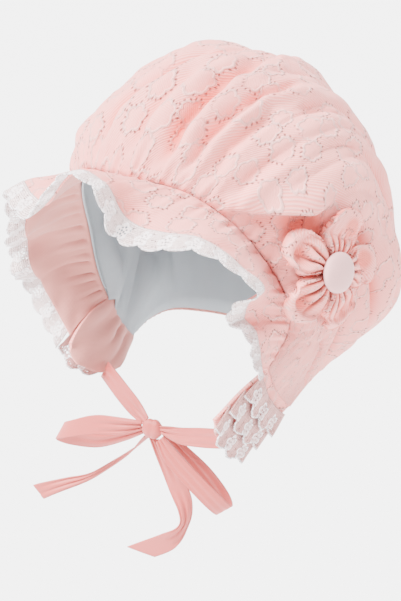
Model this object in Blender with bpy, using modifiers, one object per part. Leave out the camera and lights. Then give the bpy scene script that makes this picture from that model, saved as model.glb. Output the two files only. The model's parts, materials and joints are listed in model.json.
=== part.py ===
"""Baby bonnet: a puffed crown gathered to the face seam, a smooth lining, a waved brim
edged with lace, two ear flaps with lace tiers, a five-petal cloth flower with a covered
button, and two chin ties in a bow.

Metres, +Z up, the face looking along -Y and the wearer's left at +X. The shapes are
worked out about the head's centre. An empty then sets the whole bonnet down so that the
origin is where the top of the head bears on the lining.
"""

import math

import bmesh
import bpy
import numpy as np
from mathutils import Matrix, Vector

# Head and lining
SEAT_HEIGHT = 0.086
LINING_HALF_WIDTH = 0.080
LINING_HALF_DEPTH = 0.088
LINING_WALL = 0.0012

# Crown
CROWN_HALF_WIDTH = 0.101
CROWN_HALF_DEPTH = 0.102
CROWN_HALF_HEIGHT = 0.096
CROWN_BACK = 0.009
CROWN_LIFT = 0.020
CROWN_WALL = 0.0014
GATHER_COUNT = 24
GATHER_DEPTH = 0.0064
PUFF_POWER = 5.0

# Face seam and nape edge, measured from the head's centre
SEAM_HALF_WIDTH = 0.074
SEAM_REACH = 0.078
SEAM_RISE = 0.060
NAPE_HALF_WIDTH = 0.068
NAPE_REACH = 0.074
NAPE_DROP = 0.074

# Brim and its lace
BRIM_REACH = 0.050
BRIM_WALL = 0.0016
LACE_SHARE = 0.27
LACE_WALL = 0.0010
SCALLOP_COUNT = 34
SCALLOP_DEPTH = 0.05

# Ear flaps and their lace tiers
FLAP_LENGTH = 0.045
FLAP_WALL = 0.0022
TIER_COUNT = 3
TIER_DROP = 0.0170
TIER_FLARE = 0.0030
TIER_RIPPLE = 0.0011

# Flower
PETAL_COUNT = 5
PETAL_LENGTH = 0.037
PETAL_INNER = 0.006
PETAL_PUFF = 0.0055
PETAL_WALL = 0.0024
PETAL_SPREAD = 0.0025
PLEAT_DEPTH = 0.0016
BUTTON_RADIUS = 0.0118
BUTTON_HEIGHT = 0.0060

# Chin ties
RIBBON_WIDTH = 0.0125
RIBBON_WALL = 0.0010
KNOT_LENGTH = 0.0130
KNOT_HEIGHT = 0.0120
KNOT_DEPTH = 0.0090
KNOT_FORWARD = 0.043
KNOT_DROP = 0.106
BOW_TURN = math.radians(25)

GAP = 0.0004

# One row for each line that runs from the face seam over the crown to the nape edge, from
# the right ear flap, -1, to the left one, 1. Seam and nape columns are shares of the
# sizes above. over is the angle from straight up, in degrees, of the line's middle, and
# lean is how far that middle leans back.
LINE_COLUMNS = (
    "along", "seam_side", "seam_forward", "seam_up", "over", "lean",
    "nape_side", "nape_back", "nape_down",
)
CROWN_LINES = (
    (-1.00, -0.92, 0.256, -0.833, -142, -0.18, -1.00, 0.03, 1.08),
    (-0.80, -0.97, 0.359, -0.433, -116, -0.02, -0.98, 0.23, 0.96),
    (-0.62, -0.97, 0.462, 0.033, -90, 0.12, -0.91, 0.45, 0.91),
    (-0.45, -0.84, 0.667, 0.500, -64, 0.30, -0.74, 0.70, 0.94),
    (-0.25, -0.54, 0.900, 0.867, -36, 0.42, -0.44, 0.92, 0.98),
    (0.00, 0.00, 1.000, 1.000, 0, 0.45, 0.00, 1.00, 0.97),
    (0.25, 0.54, 0.808, 0.950, 36, 0.42, 0.44, 0.92, 0.98),
    (0.45, 0.86, 0.538, 0.583, 64, 0.32, 0.74, 0.70, 0.94),
    (0.62, 0.99, 0.231, 0.000, 90, 0.18, 0.91, 0.45, 0.91),
    (0.80, 1.00, 0.141, -0.400, 116, 0.02, 0.98, 0.23, 0.96),
    (1.00, 0.92, 0.256, -0.833, 142, -0.18, 1.00, 0.03, 1.08),
)

# The crown's deep creases: place along the seam, width, depth as a share of GATHER_DEPTH,
# and how far over the crown they start and end.
CREASE_COLUMNS = ("along", "drift", "width", "depth", "start", "end")
CREASES = (
    (-0.17, 0.10, 0.030, 0.8, 0.00, 0.40),
    (-0.04, 0.06, 0.028, 1.1, 0.00, 0.45),
    (0.09, 0.02, 0.030, 1.3, 0.00, 0.50),
    (0.40, 0.10, 0.040, 1.6, 0.00, 0.42),
    (-0.40, -0.10, 0.040, 1.2, 0.00, 0.42),
)

# The valleys between the crown's big gathers over the back of the head, as places along the
# seam, and how deep each one is as a share of GATHER_DEPTH.
VALLEY_COLUMNS = ("along", "depth")
VALLEYS = (
    (-1.03, 0.8),
    (-0.88, 0.9),
    (-0.74, 0.9),
    (-0.61, 0.9),
    (-0.49, 0.9),
    (-0.36, 0.9),
    (-0.22, 0.8),
    (-0.06, 0.9),
    (0.115, 1.0),
    (0.275, 1.2),
    (0.385, 1.0),
    (0.595, 1.0),
    (0.74, 0.9),
    (0.88, 0.9),
    (1.03, 0.8),
)

# Where the crown swells past the ellipsoid: the way to the middle of each swelling, its
# spread and its height, both in shares of CROWN_HALF_HEIGHT.
SWELL_COLUMNS = ("side", "back", "up", "spread", "height")
SWELLS = (
    (-0.55, -0.72, 0.42, 0.50, 0.10),
    (0.10, -0.85, 0.50, 0.40, -0.04),
    (0.42, 0.66, 0.62, 0.45, -0.06),
    (0.99, 0.10, -0.02, 0.42, -0.10),
    (0.73, 0.51, -0.47, 0.30, 0.062),
    (0.80, 0.54, -0.25, 0.30, 0.050),
    (-0.76, 0.53, -0.36, 0.35, 0.070),
    (0.69, 0.72, 0.04, 0.30, -0.035),
    (0.52, 0.80, 0.31, 0.30, -0.046),
    (0.09, 0.48, 0.87, 0.30, 0.044),
    (-0.42, 0.11, 0.90, 0.30, 0.051),
    (-0.62, -0.43, 0.65, 0.30, -0.076),
    (-0.83, -0.49, 0.27, 0.30, 0.028),
)

# The brim's outer edge from the right flap to the left one: how far it lies from the seam,
# in shares of BRIM_REACH, to the wearer's left, forward and up. The rows make its waves.
EDGE_COLUMNS = ("along", "side", "forward", "up")
BRIM_EDGE = (
    (-1.00, -0.30, 0.60, -0.50),
    (-0.90, -0.48, 0.64, -0.38),
    (-0.80, -0.56, 0.66, -0.28),
    (-0.71, -0.58, 0.74, -0.40),
    (-0.62, -0.66, 0.66, -0.34),
    (-0.53, -0.54, 0.76, -0.46),
    (-0.45, -0.54, 0.66, -0.46),
    (-0.37, -0.58, 0.66, -0.28),
    (-0.29, -0.54, 0.72, -0.24),
    (-0.21, -0.40, 0.78, -0.46),
    (-0.14, -0.24, 0.84, -0.50),
    (-0.07, -0.10, 0.96, -0.16),
    (0.00, -0.03, 0.96, 0.18),
    (0.10, 0.03, 0.94, 0.10),
    (0.20, -0.14, 0.88, -0.42),
    (0.30, 0.00, 0.90, -0.36),
    (0.40, 0.30, 0.90, -0.06),
    (0.50, 0.46, 0.84, 0.02),
    (0.58, 0.46, 0.82, 0.12),
    (0.66, 0.00, 0.94, 0.16),
    (0.74, -0.24, 0.84, 0.04),
    (0.82, 0.04, 0.80, 0.12),
    (0.90, 0.12, 0.64, 0.08),
    (1.00, 0.26, 0.44, 0.06),
)

# The ear flaps' lower corners from the upper ones, in shares of FLAP_LENGTH.
FLAP_COLUMNS = (
    "front_in", "front_forward", "front_down", "back_in", "back_forward", "back_down",
)
FLAPS = {
    "left": (0.18, 0.80, 0.58, 0.27, 0.62, 0.62),
    "right": (0.12, 0.92, 0.50, 0.34, 0.58, 0.30),
}

# Where the flower sits on the crown and the way it faces.
FLOWER_HEADING = (0.985, -0.115, -0.045)
FLOWER_FACING = (0.98, -0.02, 0.18)
FIRST_PETAL = math.radians(69)
PLEATS = 4

# Ribbon routes from the knot's centre, in shares of RIBBON_WIDTH: across to the wearer's
# left, up, and back, then the width's direction in the bow's plane in degrees from
# across, its tilt out of that plane, and the width's share.
RIBBON_COLUMNS = ("across", "up", "back", "turn", "tilt", "width")
LOOP_RIGHT = (
    (-0.54, 0.12, -0.10, 82, 0, 0.45),
    (-1.50, 0.00, -0.34, 88, 6, 0.80),
    (-2.90, -0.20, -0.42, 84, 10, 1.00),
    (-4.20, -0.74, -0.30, 74, 8, 1.00),
    (-4.78, -1.16, 0.12, 66, 4, 1.00),
    (-4.20, -1.46, 0.50, 74, 0, 1.00),
    (-2.90, -1.40, 0.56, 88, -6, 0.90),
    (-1.50, -0.80, 0.44, 92, -6, 0.66),
    (-0.54, -0.24, 0.26, 90, 0, 0.42),
)
LOOP_LEFT = (
    (0.46, -0.36, -0.20, 48, 0, 0.45),
    (1.20, -1.10, -0.42, 44, 4, 0.80),
    (2.40, -2.10, -0.48, 42, 6, 0.90),
    (3.46, -3.06, -0.34, 40, 4, 0.95),
    (3.86, -3.52, 0.06, 40, 0, 0.95),
    (3.50, -3.06, 0.44, 40, 0, 0.95),
    (2.55, -2.00, 0.50, 42, -4, 0.90),
    (1.40, -0.95, 0.42, 48, -4, 0.66),
    (0.56, -0.12, 0.18, 50, 0, 0.42),
)
TAIL_RIGHT = (
    (-0.28, -0.455, 0.22, 26, 0, 0.36),
    (-1.20, -1.70, 1.00, 50, 0, 0.70),
    (-2.40, -2.90, 1.30, 54, 0, 0.90),
    (-3.50, -3.72, 0.90, 62, 30, 0.60),
    (-4.70, -4.30, 0.70, 74, 20, 0.80),
    (-6.00, -4.95, 0.60, 88, 0, 1.00),
)
TAIL_LEFT = (
    (0.10, -0.50, 0.00, 0, 0, 0.40),
    (0.75, -1.60, 0.10, 24, 0, 0.80),
    (1.45, -2.90, 0.10, 18, 0, 1.00),
    (1.90, -3.90, 0.00, 12, 30, 0.70),
    (1.85, -4.80, 0.00, -12, 50, 0.60),
    (1.10, -5.80, 0.00, -40, 10, 1.00),
    (-0.30, -6.75, 0.10, -46, 0, 1.00),
)

# Where each tie starts across the flap, then its way to the knot: share of the way, share
# of the full width, twist in degrees and sag in shares of RIBBON_WIDTH.
TIE_PLACE = {"left": 0.0, "right": 0.55}
TIE_ROWS = {
    "left": ((0, 0.95, 0, 0), (0.35, 0.90, 25, 0.10), (0.7, 0.80, 40, 0.15), (1, 0.44, 0, 0)),
    "right": ((0, 0.95, 0, 0), (0.35, 1.00, 0, 0.05), (0.7, 0.92, 0, 0.05), (1, 0.44, 0, 0)),
}

PINK = (0.875, 0.60, 0.555)
PALE_PINK = (0.90, 0.66, 0.62)
RIBBON_PINK = (0.78, 0.42, 0.38)
LACE_WHITE = (0.90, 0.84, 0.83)
LINING_GREY = (0.58, 0.60, 0.61)


def table(columns, rows):
    """The columns of a table by name."""
    return {name: np.array([row[i] for row in rows], float) for i, name in enumerate(columns)}


def smooth(knots, values, at):
    """A smooth curve through the values, read at the given places."""
    at = np.clip(np.asarray(at, float), knots[0], knots[-1])
    slopes = np.gradient(values, knots)
    i = np.clip(np.searchsorted(knots, at, side="right") - 1, 0, len(knots) - 2)
    span = knots[i + 1] - knots[i]
    s = (at - knots[i]) / span
    start = (1 + 2 * s) * (1 - s) ** 2 * values[i] + s * (1 - s) ** 2 * span * slopes[i]
    end = s**2 * (3 - 2 * s) * values[i + 1] + s**2 * (s - 1) * span * slopes[i + 1]
    return start + end


def ease(x):
    """Nought to one with level ends."""
    x = np.clip(x, 0, 1)
    return x * x * (3 - 2 * x)


def unit(v):
    return v / np.linalg.norm(v, axis=-1, keepdims=True)


LINES = table(LINE_COLUMNS, CROWN_LINES)
EDGE = table(EDGE_COLUMNS, BRIM_EDGE)
CENTRE = np.array([0, CROWN_BACK, CROWN_LIFT])
CROWN_SIZE = np.array([CROWN_HALF_WIDTH, CROWN_HALF_DEPTH, CROWN_HALF_HEIGHT])
LINING_TOP = SEAT_HEIGHT + LINING_WALL - CROWN_LIFT
LINING_SIZE = np.array([LINING_HALF_WIDTH, LINING_HALF_DEPTH, LINING_TOP])
LINING_INSET = CROWN_WALL + 4 * GAP


def line(name, u):
    return smooth(LINES["along"], LINES[name], u)


def seam(u):
    """The face seam, where the brim is sewn to the crown."""
    side = line("seam_side", u) * SEAM_HALF_WIDTH
    forward = -line("seam_forward", u) * SEAM_REACH
    return np.stack([side, forward, line("seam_up", u) * SEAM_RISE], -1)


def nape(u):
    """The crown's lower edge round the back of the neck."""
    side = line("nape_side", u) * NAPE_HALF_WIDTH
    back = line("nape_back", u) * NAPE_REACH
    return np.stack([side, back, -line("nape_down", u) * NAPE_DROP], -1)


def dome(u, t, size, inset):
    """A hood over the seam and nape edges that fills out to the ellipsoid between them."""
    front = seam(u) - CENTRE
    back = nape(u) - CENTRE
    front -= unit(front) * inset
    back -= unit(back) * inset
    over = np.radians(line("over", u))
    middle = unit(np.stack([np.sin(over), line("lean", u), np.cos(over)], -1))
    t = t[..., None]
    heading = unit(front) * (1 - t) * (1 - 2 * t) + middle * 4 * t * (1 - t) + unit(back) * t * (2 * t - 1)
    heading = unit(heading)
    edge = np.linalg.norm(front, axis=-1, keepdims=True) * (1 - t)
    edge = edge + np.linalg.norm(back, axis=-1, keepdims=True) * t
    full = 1 / np.linalg.norm(heading / size, axis=-1, keepdims=True)
    fill = (1 - np.abs(1 - 2 * t) ** PUFF_POWER) * (1 - np.abs(u[..., None]) ** 6)
    return CENTRE + heading * (edge + (full - edge) * fill), heading


def big_gathers(u):
    """Puffs between the valleys over the back of the head."""
    valley = table(VALLEY_COLUMNS, VALLEYS)
    i = np.clip(np.searchsorted(valley["along"], u, side="right") - 1, 0, len(VALLEYS) - 2)
    s = (u - valley["along"][i]) / (valley["along"][i + 1] - valley["along"][i])
    depth = valley["depth"][i] * (1 - ease(s)) + valley["depth"][i + 1] * ease(s)
    return depth * (np.abs(np.sin(math.pi * s)) ** 0.6 - 0.75)


def gathers(u, t):
    """Height of the puffs between gathers, with the deep creases taken out."""
    rise = 1 - np.abs(1 - 2 * t) ** 4
    place = (u + 1) / 2 * GATHER_COUNT
    fine = np.abs(np.sin(math.pi * place)) ** 0.7 - 0.6
    puff = fine * (0.35 + 0.05 * t) + big_gathers(u) * (0.1 + 1.3 * t)
    for row in CREASES:
        crease = dict(zip(CREASE_COLUMNS, row))
        middle = crease["along"] + crease["drift"] * t
        across = np.exp(-(((u - middle) / crease["width"]) ** 2))
        reach = ease((t - crease["start"]) / 0.12) * (1 - ease((t - 0.4 * crease["end"]) / (0.6 * crease["end"])))
        puff = puff - crease["depth"] * across * reach
    return GATHER_DEPTH * puff * rise * (1 - np.abs(u) ** 8)


def crown_surface(u, t):
    place, heading = dome(u, t, CROWN_SIZE, 0)
    height = gathers(u, t)
    for row in SWELLS:
        swell = dict(zip(SWELL_COLUMNS, row))
        middle = unit(np.array([swell["side"], swell["back"], swell["up"]]))
        away = np.linalg.norm(heading - middle, axis=-1) / swell["spread"]
        height = height + CROWN_HALF_HEIGHT * swell["height"] * np.exp(-(away**2)) * ease(t / 0.15)
    return place + heading * height[..., None]


def lining_surface(u, t):
    return dome(u, t, LINING_SIZE, LINING_INSET)[0]


def brim_surface(u, share):
    """The brim and its lace: share runs from the seam, 0, to the outer edge, 1."""
    parts = [smooth(EDGE["along"], EDGE[name], u) for name in ("side", "forward", "up")]
    reach = np.stack([parts[0], -parts[1], parts[2]], -1) * BRIM_REACH
    start = unit(reach) * GAP
    share = share[..., None]
    hump = 0.10 * BRIM_REACH * np.sin(math.pi * share) * np.array([0, -0.3, 0.6])
    return seam(u) + start + reach * share + hump


def lace_edge(u):
    """Where the lace's scalloped edge lies, as a share of the brim."""
    scallop = np.abs(np.sin(math.pi * SCALLOP_COUNT * (u + 1) / 2))
    return 1 - SCALLOP_DEPTH * (1 - scallop)


def make_material(name, colour, roughness):
    material = bpy.data.materials.new(name)
    material.use_nodes = True
    shader = material.node_tree.nodes["Principled BSDF"]
    shader.inputs["Base Color"].default_value = (*colour, 1)
    shader.inputs["Roughness"].default_value = roughness
    return material


def add_object(name, mesh, material):
    obj = bpy.data.objects.new(name, mesh)
    mesh.materials.append(material)
    bonnet.objects.link(obj)
    obj.parent = head_centre
    return obj


def cloth(name, surface, columns, rows, wall, material, offset=-1):
    """A grid laid over a surface and given a wall. surface takes x and y from -1 to 1."""
    bm = bmesh.new()
    bmesh.ops.create_grid(bm, x_segments=columns, y_segments=rows, size=1)
    flat = np.array([v.co[:2] for v in bm.verts])
    for vert, place in zip(bm.verts, surface(flat[:, 0], flat[:, 1])):
        vert.co = place
    mesh = bpy.data.meshes.new(name)
    bm.to_mesh(mesh)
    bm.free()
    mesh.shade_smooth()
    obj = add_object(name, mesh, material)
    solid = obj.modifiers.new("wall", "SOLIDIFY")
    solid.thickness = wall
    solid.offset = offset
    return obj


def make_crown():
    cloth("crown", lambda x, y: crown_surface(x, (y + 1) / 2), 3 * GATHER_COUNT, 12, CROWN_WALL, fabric)


def make_lining():
    cloth("lining", lambda x, y: lining_surface(x, (y + 1) / 2), 24, 9, LINING_WALL, cotton)


def make_brim():
    def brim(x, y):
        return brim_surface(x, (1 - y) / 2 * (1 - LACE_SHARE))

    def lace(x, y):
        start = 1 - LACE_SHARE + 2 * GAP / BRIM_REACH
        return brim_surface(x, start + (lace_edge(x) - start) * (1 - y) / 2)

    cloth("brim", brim, 72, 3, BRIM_WALL, fabric)
    cloth("brim_lace", lace, 3 * SCALLOP_COUNT, 1, LACE_WALL, lace_cloth)


def flap_surface(side, across, down):
    """An ear flap: across runs from its front edge, -1, to its back edge, 1."""
    corner = dict(zip(FLAP_COLUMNS, FLAPS[side]))
    sign = 1 if side == "left" else -1
    place = (across + 1) / 2
    top = dome(np.full_like(place, sign), place, CROWN_SIZE, 0)[0]
    drops = []
    for end in ("front", "back"):
        drop = [-sign * corner[end + "_in"], -corner[end + "_forward"], -corner[end + "_down"]]
        drops.append(np.array(drop) * FLAP_LENGTH)
    place = place[..., None]
    drop = drops[0] * (1 - place) + drops[1] * place
    across_flap = nape(np.array(1.0 * sign)) - seam(np.array(1.0 * sign))
    outward = unit(np.cross(across_flap, drop)) * -sign
    bulge = 0.05 * FLAP_LENGTH * (1 - across**2) * np.sin(math.pi * np.clip(down, 0, 1))
    start = unit(drop) * 3 * GAP
    return top + start + drop * down[..., None] + outward * bulge[..., None], outward


def tier_surface(side, level, across, down):
    """A lace tier sewn across the flap, standing off it more towards its lower edge."""
    start = 0.12 + level * 0.30
    place, outward = flap_surface(side, across * 1.07, start + down * TIER_DROP / FLAP_LENGTH)
    ripple = (1 + np.sin(across * math.pi * 2.5 + level)) * TIER_RIPPLE
    stand = LACE_WALL + 2 * GAP + (TIER_FLARE + ripple) * down
    return place + outward * stand[..., None]


def make_flaps():
    """The flaps and their tiers. Going across runs the other way round on the right."""
    for side, sign in (("left", 1), ("right", -1)):
        cloth(
            "ear_flap_" + side,
            lambda x, y: flap_surface(side, sign * x, (1 - y) / 2)[0],
            6, 5, FLAP_WALL, fabric,
        )
        for level in range(TIER_COUNT):
            cloth(
                f"flap_lace_{side}_{level + 1}",
                lambda x, y: tier_surface(side, level, sign * x, (1 - y) / 2),
                12, 2, LACE_WALL, lace_cloth,
            )


def flower_frame():
    """Centre and axes of the flower, set on the crown under its middle."""
    facing = unit(np.array(FLOWER_FACING))
    right = unit(np.cross([0, 0, 1], facing))
    up = np.cross(facing, right)
    heading = unit(np.array(FLOWER_HEADING))
    centre = CENTRE + heading / np.linalg.norm(heading / CROWN_SIZE)
    rise = crown_under(centre, right, up, facing, np.zeros((1, 2)), BUTTON_RADIUS / 2)[0]
    return centre + facing * (rise + PETAL_WALL + GAP), right, up, facing


def crown_under(centre, right, up, facing, places, spread):
    """The crown's height under places in the flower's plane, its highest within spread."""
    u, t = np.meshgrid(np.linspace(0.1, 1, 181), np.linspace(0, 1, 121))
    crown = crown_surface(u.ravel(), t.ravel()) - centre
    flat = np.stack([crown @ right, crown @ up], -1)
    near = np.linalg.norm(places[:, None] - flat, axis=-1) < spread
    return np.where(near, crown @ facing, -np.inf).max(1)


def petal_droop(radius):
    """How far the flower falls back from its centre."""
    return -0.20 * PETAL_LENGTH * (radius / PETAL_LENGTH) ** 2


def petal_length(across):
    return PETAL_LENGTH * (1 - 0.20 * np.abs(across) ** 3)


def petal_droop(radius):
    """How far the flower falls back from its centre to follow the crown."""
    return -0.20 * PETAL_LENGTH * (radius / PETAL_LENGTH) ** 2


def petal_shape(across, out):
    """One petal along +X: its place in the flower's plane and its height."""
    slot = math.pi / PETAL_COUNT
    radius = PETAL_INNER + (petal_length(across) - PETAL_INNER) * out
    angle = across * (slot - np.arcsin(GAP / radius))
    pleat = np.cos(math.pi * PLEATS * across) * (1 - ease((out - 0.15) / 0.75))
    swell = PETAL_PUFF * np.sin(math.pi * out**0.8) * (1 - across**4)
    height = petal_droop(radius) + swell + PLEAT_DEPTH * pleat * (1 - across**6)
    return radius, angle, height


def make_flower():
    centre, right, up, facing = flower_frame()

    def petal_at(turn):
        def petal(x, y):
            radius, angle, height = petal_shape(-x, (y + 1) / 2)
            flat = np.stack([np.cos(angle + turn), np.sin(angle + turn)], -1) * radius[:, None]
            under = crown_under(centre, right, up, facing, flat, PETAL_SPREAD)
            height = np.maximum(height, under + PETAL_WALL + GAP)
            return centre + flat[:, :1] * right + flat[:, 1:] * up + height[:, None] * facing

        return petal

    for number in range(PETAL_COUNT):
        turn = FIRST_PETAL + number * math.tau / PETAL_COUNT
        cloth(f"petal_{number + 1}", petal_at(turn), 14, 5, PETAL_WALL, fabric)
    make_button(centre, right, up, facing)


def make_button(centre, right, up, facing):
    """A covered button: a turned dome that sits on the petals' inner ends."""
    across, out = np.meshgrid(np.linspace(-1, 1, 33), np.linspace(0, 1, 33))
    radius, _, height = petal_shape(across, out)
    seat = height[radius <= BUTTON_RADIUS].max() + GAP
    profile = [(0, BUTTON_HEIGHT)]
    for step in (22.5, 45, 67.5, 90):
        angle = math.radians(step)
        profile.append((BUTTON_RADIUS * math.sin(angle), BUTTON_HEIGHT * math.cos(angle) ** 0.8))
    profile[-1] = (BUTTON_RADIUS, 0.22 * BUTTON_HEIGHT)
    profile += [(0.94 * BUTTON_RADIUS, 0), (0, 0)]
    mesh = bpy.data.meshes.new("button")
    mesh.from_pydata([(x, 0, z) for x, z in profile], [(i, i + 1) for i in range(len(profile) - 1)], [])
    button = add_object("button", mesh, ribbon_cloth)
    turned = button.modifiers.new("turned", "SCREW")
    turned.steps = turned.render_steps = 24
    turned.use_merge_vertices = True
    turned.merge_threshold = 0.0001
    turned.use_smooth_shade = True
    axes = Matrix((right, up, facing)).transposed().to_4x4()
    axes.translation = Vector(centre + facing * seat)
    button.matrix_local = axes


def knot_centre():
    return np.array([0, -KNOT_FORWARD, -KNOT_DROP])


def bow_axes():
    across = np.array([math.cos(BOW_TURN), math.sin(BOW_TURN), 0])
    back = np.array([-math.sin(BOW_TURN), math.cos(BOW_TURN), 0])
    return across, back


def ribbon(name, rows, columns):
    """A flat strip that follows the rows of a route, each with its own way of facing."""
    route = table(RIBBON_COLUMNS, rows)
    knots = np.linspace(-1, 1, len(rows))
    across, back = bow_axes()
    up = np.array([0, 0, 1.0])

    def strip(x, y):
        part = {key: smooth(knots, values, x)[:, None] for key, values in route.items()}
        place = (part["across"] * across + part["up"] * up + part["back"] * back) * RIBBON_WIDTH
        turn, tilt = np.radians(part["turn"]), np.radians(part["tilt"])
        wide = (across * np.cos(turn) + up * np.sin(turn)) * np.cos(tilt) + back * np.sin(tilt)
        return knot_centre() + place + wide * part["width"] * y[:, None] * RIBBON_WIDTH / 2

    cloth(name, strip, columns, 1, RIBBON_WALL, ribbon_cloth, offset=0)


def tie_rows(side):
    """Route of a tie from behind the ear flap's lower edge to the knot."""
    place, outward = flap_surface(side, np.array([TIE_PLACE[side]]), np.array([0.97]))
    start = place[0] - outward[0] * (FLAP_WALL + RIBBON_WALL + GAP) - knot_centre()
    across, back = bow_axes()
    start = np.array([start @ across, start[2], start @ back]) / RIBBON_WIDTH
    end = unit(start) * 0.57
    lean = math.degrees(math.atan2(start[1], start[0])) + 90
    rows = []
    for share, width, twist, sag in TIE_ROWS[side]:
        place = start + (end - start) * share
        rows.append((place[0], place[1] - sag, place[2], lean, twist, width))
    return rows


def make_ties():
    for side in FLAPS:
        ribbon("tie_" + side, tie_rows(side), 12)
    ribbon("bow_loop_right", LOOP_RIGHT, 28)
    ribbon("bow_loop_left", LOOP_LEFT, 28)
    ribbon("bow_tail_right", TAIL_RIGHT, 22)
    ribbon("bow_tail_left", TAIL_LEFT, 24)
    make_knot()


def make_knot():
    bm = bmesh.new()
    bmesh.ops.create_uvsphere(bm, u_segments=16, v_segments=10, radius=0.5)
    mesh = bpy.data.meshes.new("bow_knot")
    bmesh.ops.scale(bm, vec=(KNOT_LENGTH, KNOT_DEPTH, KNOT_HEIGHT), verts=bm.verts)
    bm.to_mesh(mesh)
    bm.free()
    mesh.shade_smooth()
    knot = add_object("bow_knot", mesh, ribbon_cloth)
    knot.rotation_euler.z = BOW_TURN
    knot.location = Vector(knot_centre())


for leftover in list(bpy.data.objects):
    bpy.data.objects.remove(leftover)

bonnet = bpy.data.collections.new("bonnet")
bpy.context.scene.collection.children.link(bonnet)
head_centre = bpy.data.objects.new("head_centre", None)
head_centre.location = (0, -CROWN_BACK, -SEAT_HEIGHT)
bonnet.objects.link(head_centre)

fabric = make_material("jacquard", PINK, 0.85)
cotton = make_material("lining_cotton", LINING_GREY, 0.9)
lace_cloth = make_material("lace", LACE_WHITE, 0.8)
ribbon_cloth = make_material("ribbon", RIBBON_PINK, 0.6)

make_crown()
make_lining()
make_brim()
make_flaps()
make_flower()
make_ties()
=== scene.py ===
"""Baby bonnet: the looks of the cloth, lace, flower and ribbons around its solids.

Metres, +Z up, the face looking along -Y and the wearer's left at +X. The shapes are worked
out about the head's centre and set down by HEAD_CENTRE, so that the origin is where the top
of the head bears on the lining.
"""

import json
import math

import bmesh
import bpy
import numpy as np
from bpy.props import FloatProperty, FloatVectorProperty, PointerProperty
from bpy.types import Operator, Panel, PropertyGroup
from mathutils import Matrix, Vector
from mathutils.geometry import delaunay_2d_cdt

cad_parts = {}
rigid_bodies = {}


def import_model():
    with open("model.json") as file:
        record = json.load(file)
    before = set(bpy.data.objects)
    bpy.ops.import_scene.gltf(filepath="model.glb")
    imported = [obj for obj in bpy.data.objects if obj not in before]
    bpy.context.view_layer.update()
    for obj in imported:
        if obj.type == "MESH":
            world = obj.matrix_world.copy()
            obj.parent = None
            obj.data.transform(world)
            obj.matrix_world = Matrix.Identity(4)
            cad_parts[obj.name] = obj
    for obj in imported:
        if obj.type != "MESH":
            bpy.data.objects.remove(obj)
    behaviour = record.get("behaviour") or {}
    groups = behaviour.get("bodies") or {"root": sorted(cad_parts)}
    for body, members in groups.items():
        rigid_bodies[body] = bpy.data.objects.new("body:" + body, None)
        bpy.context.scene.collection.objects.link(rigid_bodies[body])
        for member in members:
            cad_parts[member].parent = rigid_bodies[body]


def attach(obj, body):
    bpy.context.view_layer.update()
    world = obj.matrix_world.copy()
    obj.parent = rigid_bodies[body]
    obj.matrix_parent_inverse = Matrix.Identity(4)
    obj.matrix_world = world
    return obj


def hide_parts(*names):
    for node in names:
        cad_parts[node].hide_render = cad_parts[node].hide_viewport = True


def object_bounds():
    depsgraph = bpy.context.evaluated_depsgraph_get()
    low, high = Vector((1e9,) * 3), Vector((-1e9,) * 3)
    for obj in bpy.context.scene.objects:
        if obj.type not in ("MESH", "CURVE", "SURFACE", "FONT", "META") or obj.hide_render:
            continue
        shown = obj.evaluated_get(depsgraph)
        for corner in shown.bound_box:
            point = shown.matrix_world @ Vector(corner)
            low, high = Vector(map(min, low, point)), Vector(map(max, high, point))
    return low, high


bl_info = {
    "name": "Baby Bonnet",
    "version": (1, 0, 0),
    "blender": (4, 5, 0),
    "location": "View3D > Sidebar > Bonnet",
    "description": "Dresses a baby bonnet in jacquard, lace, a cloth flower and ribbon ties",
    "category": "Add Mesh",
}

for leftover in list(bpy.data.objects):
    bpy.data.objects.remove(leftover)
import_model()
CAD_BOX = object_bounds()

# Head and lining. LINING_LIP is how far the lining runs past the face seam, as a share of its
# length, and LINING_SLACK how far it stands off the crown just behind the seam.
SEAT_HEIGHT = 0.086
LINING_HALF_WIDTH = 0.080
LINING_HALF_DEPTH = 0.088
LINING_WALL = 0.0012
LINING_LIP = 0.014
LINING_SLACK = 0.0035
LINING_SAG = 0.0030
LINING_WRINKLE = 0.0009

# Crown. It fills out by the power PUFF_POWER, and by PUFF_EASE less in front. The fold above
# the flower stands FOLD_HEIGHT high and leans FOLD_LEAN over its neighbour, as a share of the
# seam. The hollow beside it is FOLD_HOLLOW deep, and POCKET_DEPTH more away from the seam.
CROWN_HALF_WIDTH = 0.101
CROWN_HALF_DEPTH = 0.102
CROWN_HALF_HEIGHT = 0.096
CROWN_BACK = 0.009
CROWN_LIFT = 0.020
CROWN_WALL = 0.0014
GATHER_COUNT = 24
GATHER_DEPTH = 0.0064
PUFF_POWER = 5.0
PUFF_EASE = 1.3
FOLD_HEIGHT = 0.0046
FOLD_LEAN = 0.030
FOLD_HOLLOW = 0.0030
POCKET_DEPTH = 0.0075

# Face seam and nape edge, measured from the head's centre
SEAM_HALF_WIDTH = 0.074
SEAM_REACH = 0.078
SEAM_RISE = 0.060
NAPE_HALF_WIDTH = 0.068
NAPE_REACH = 0.074
NAPE_DROP = 0.074

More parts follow.
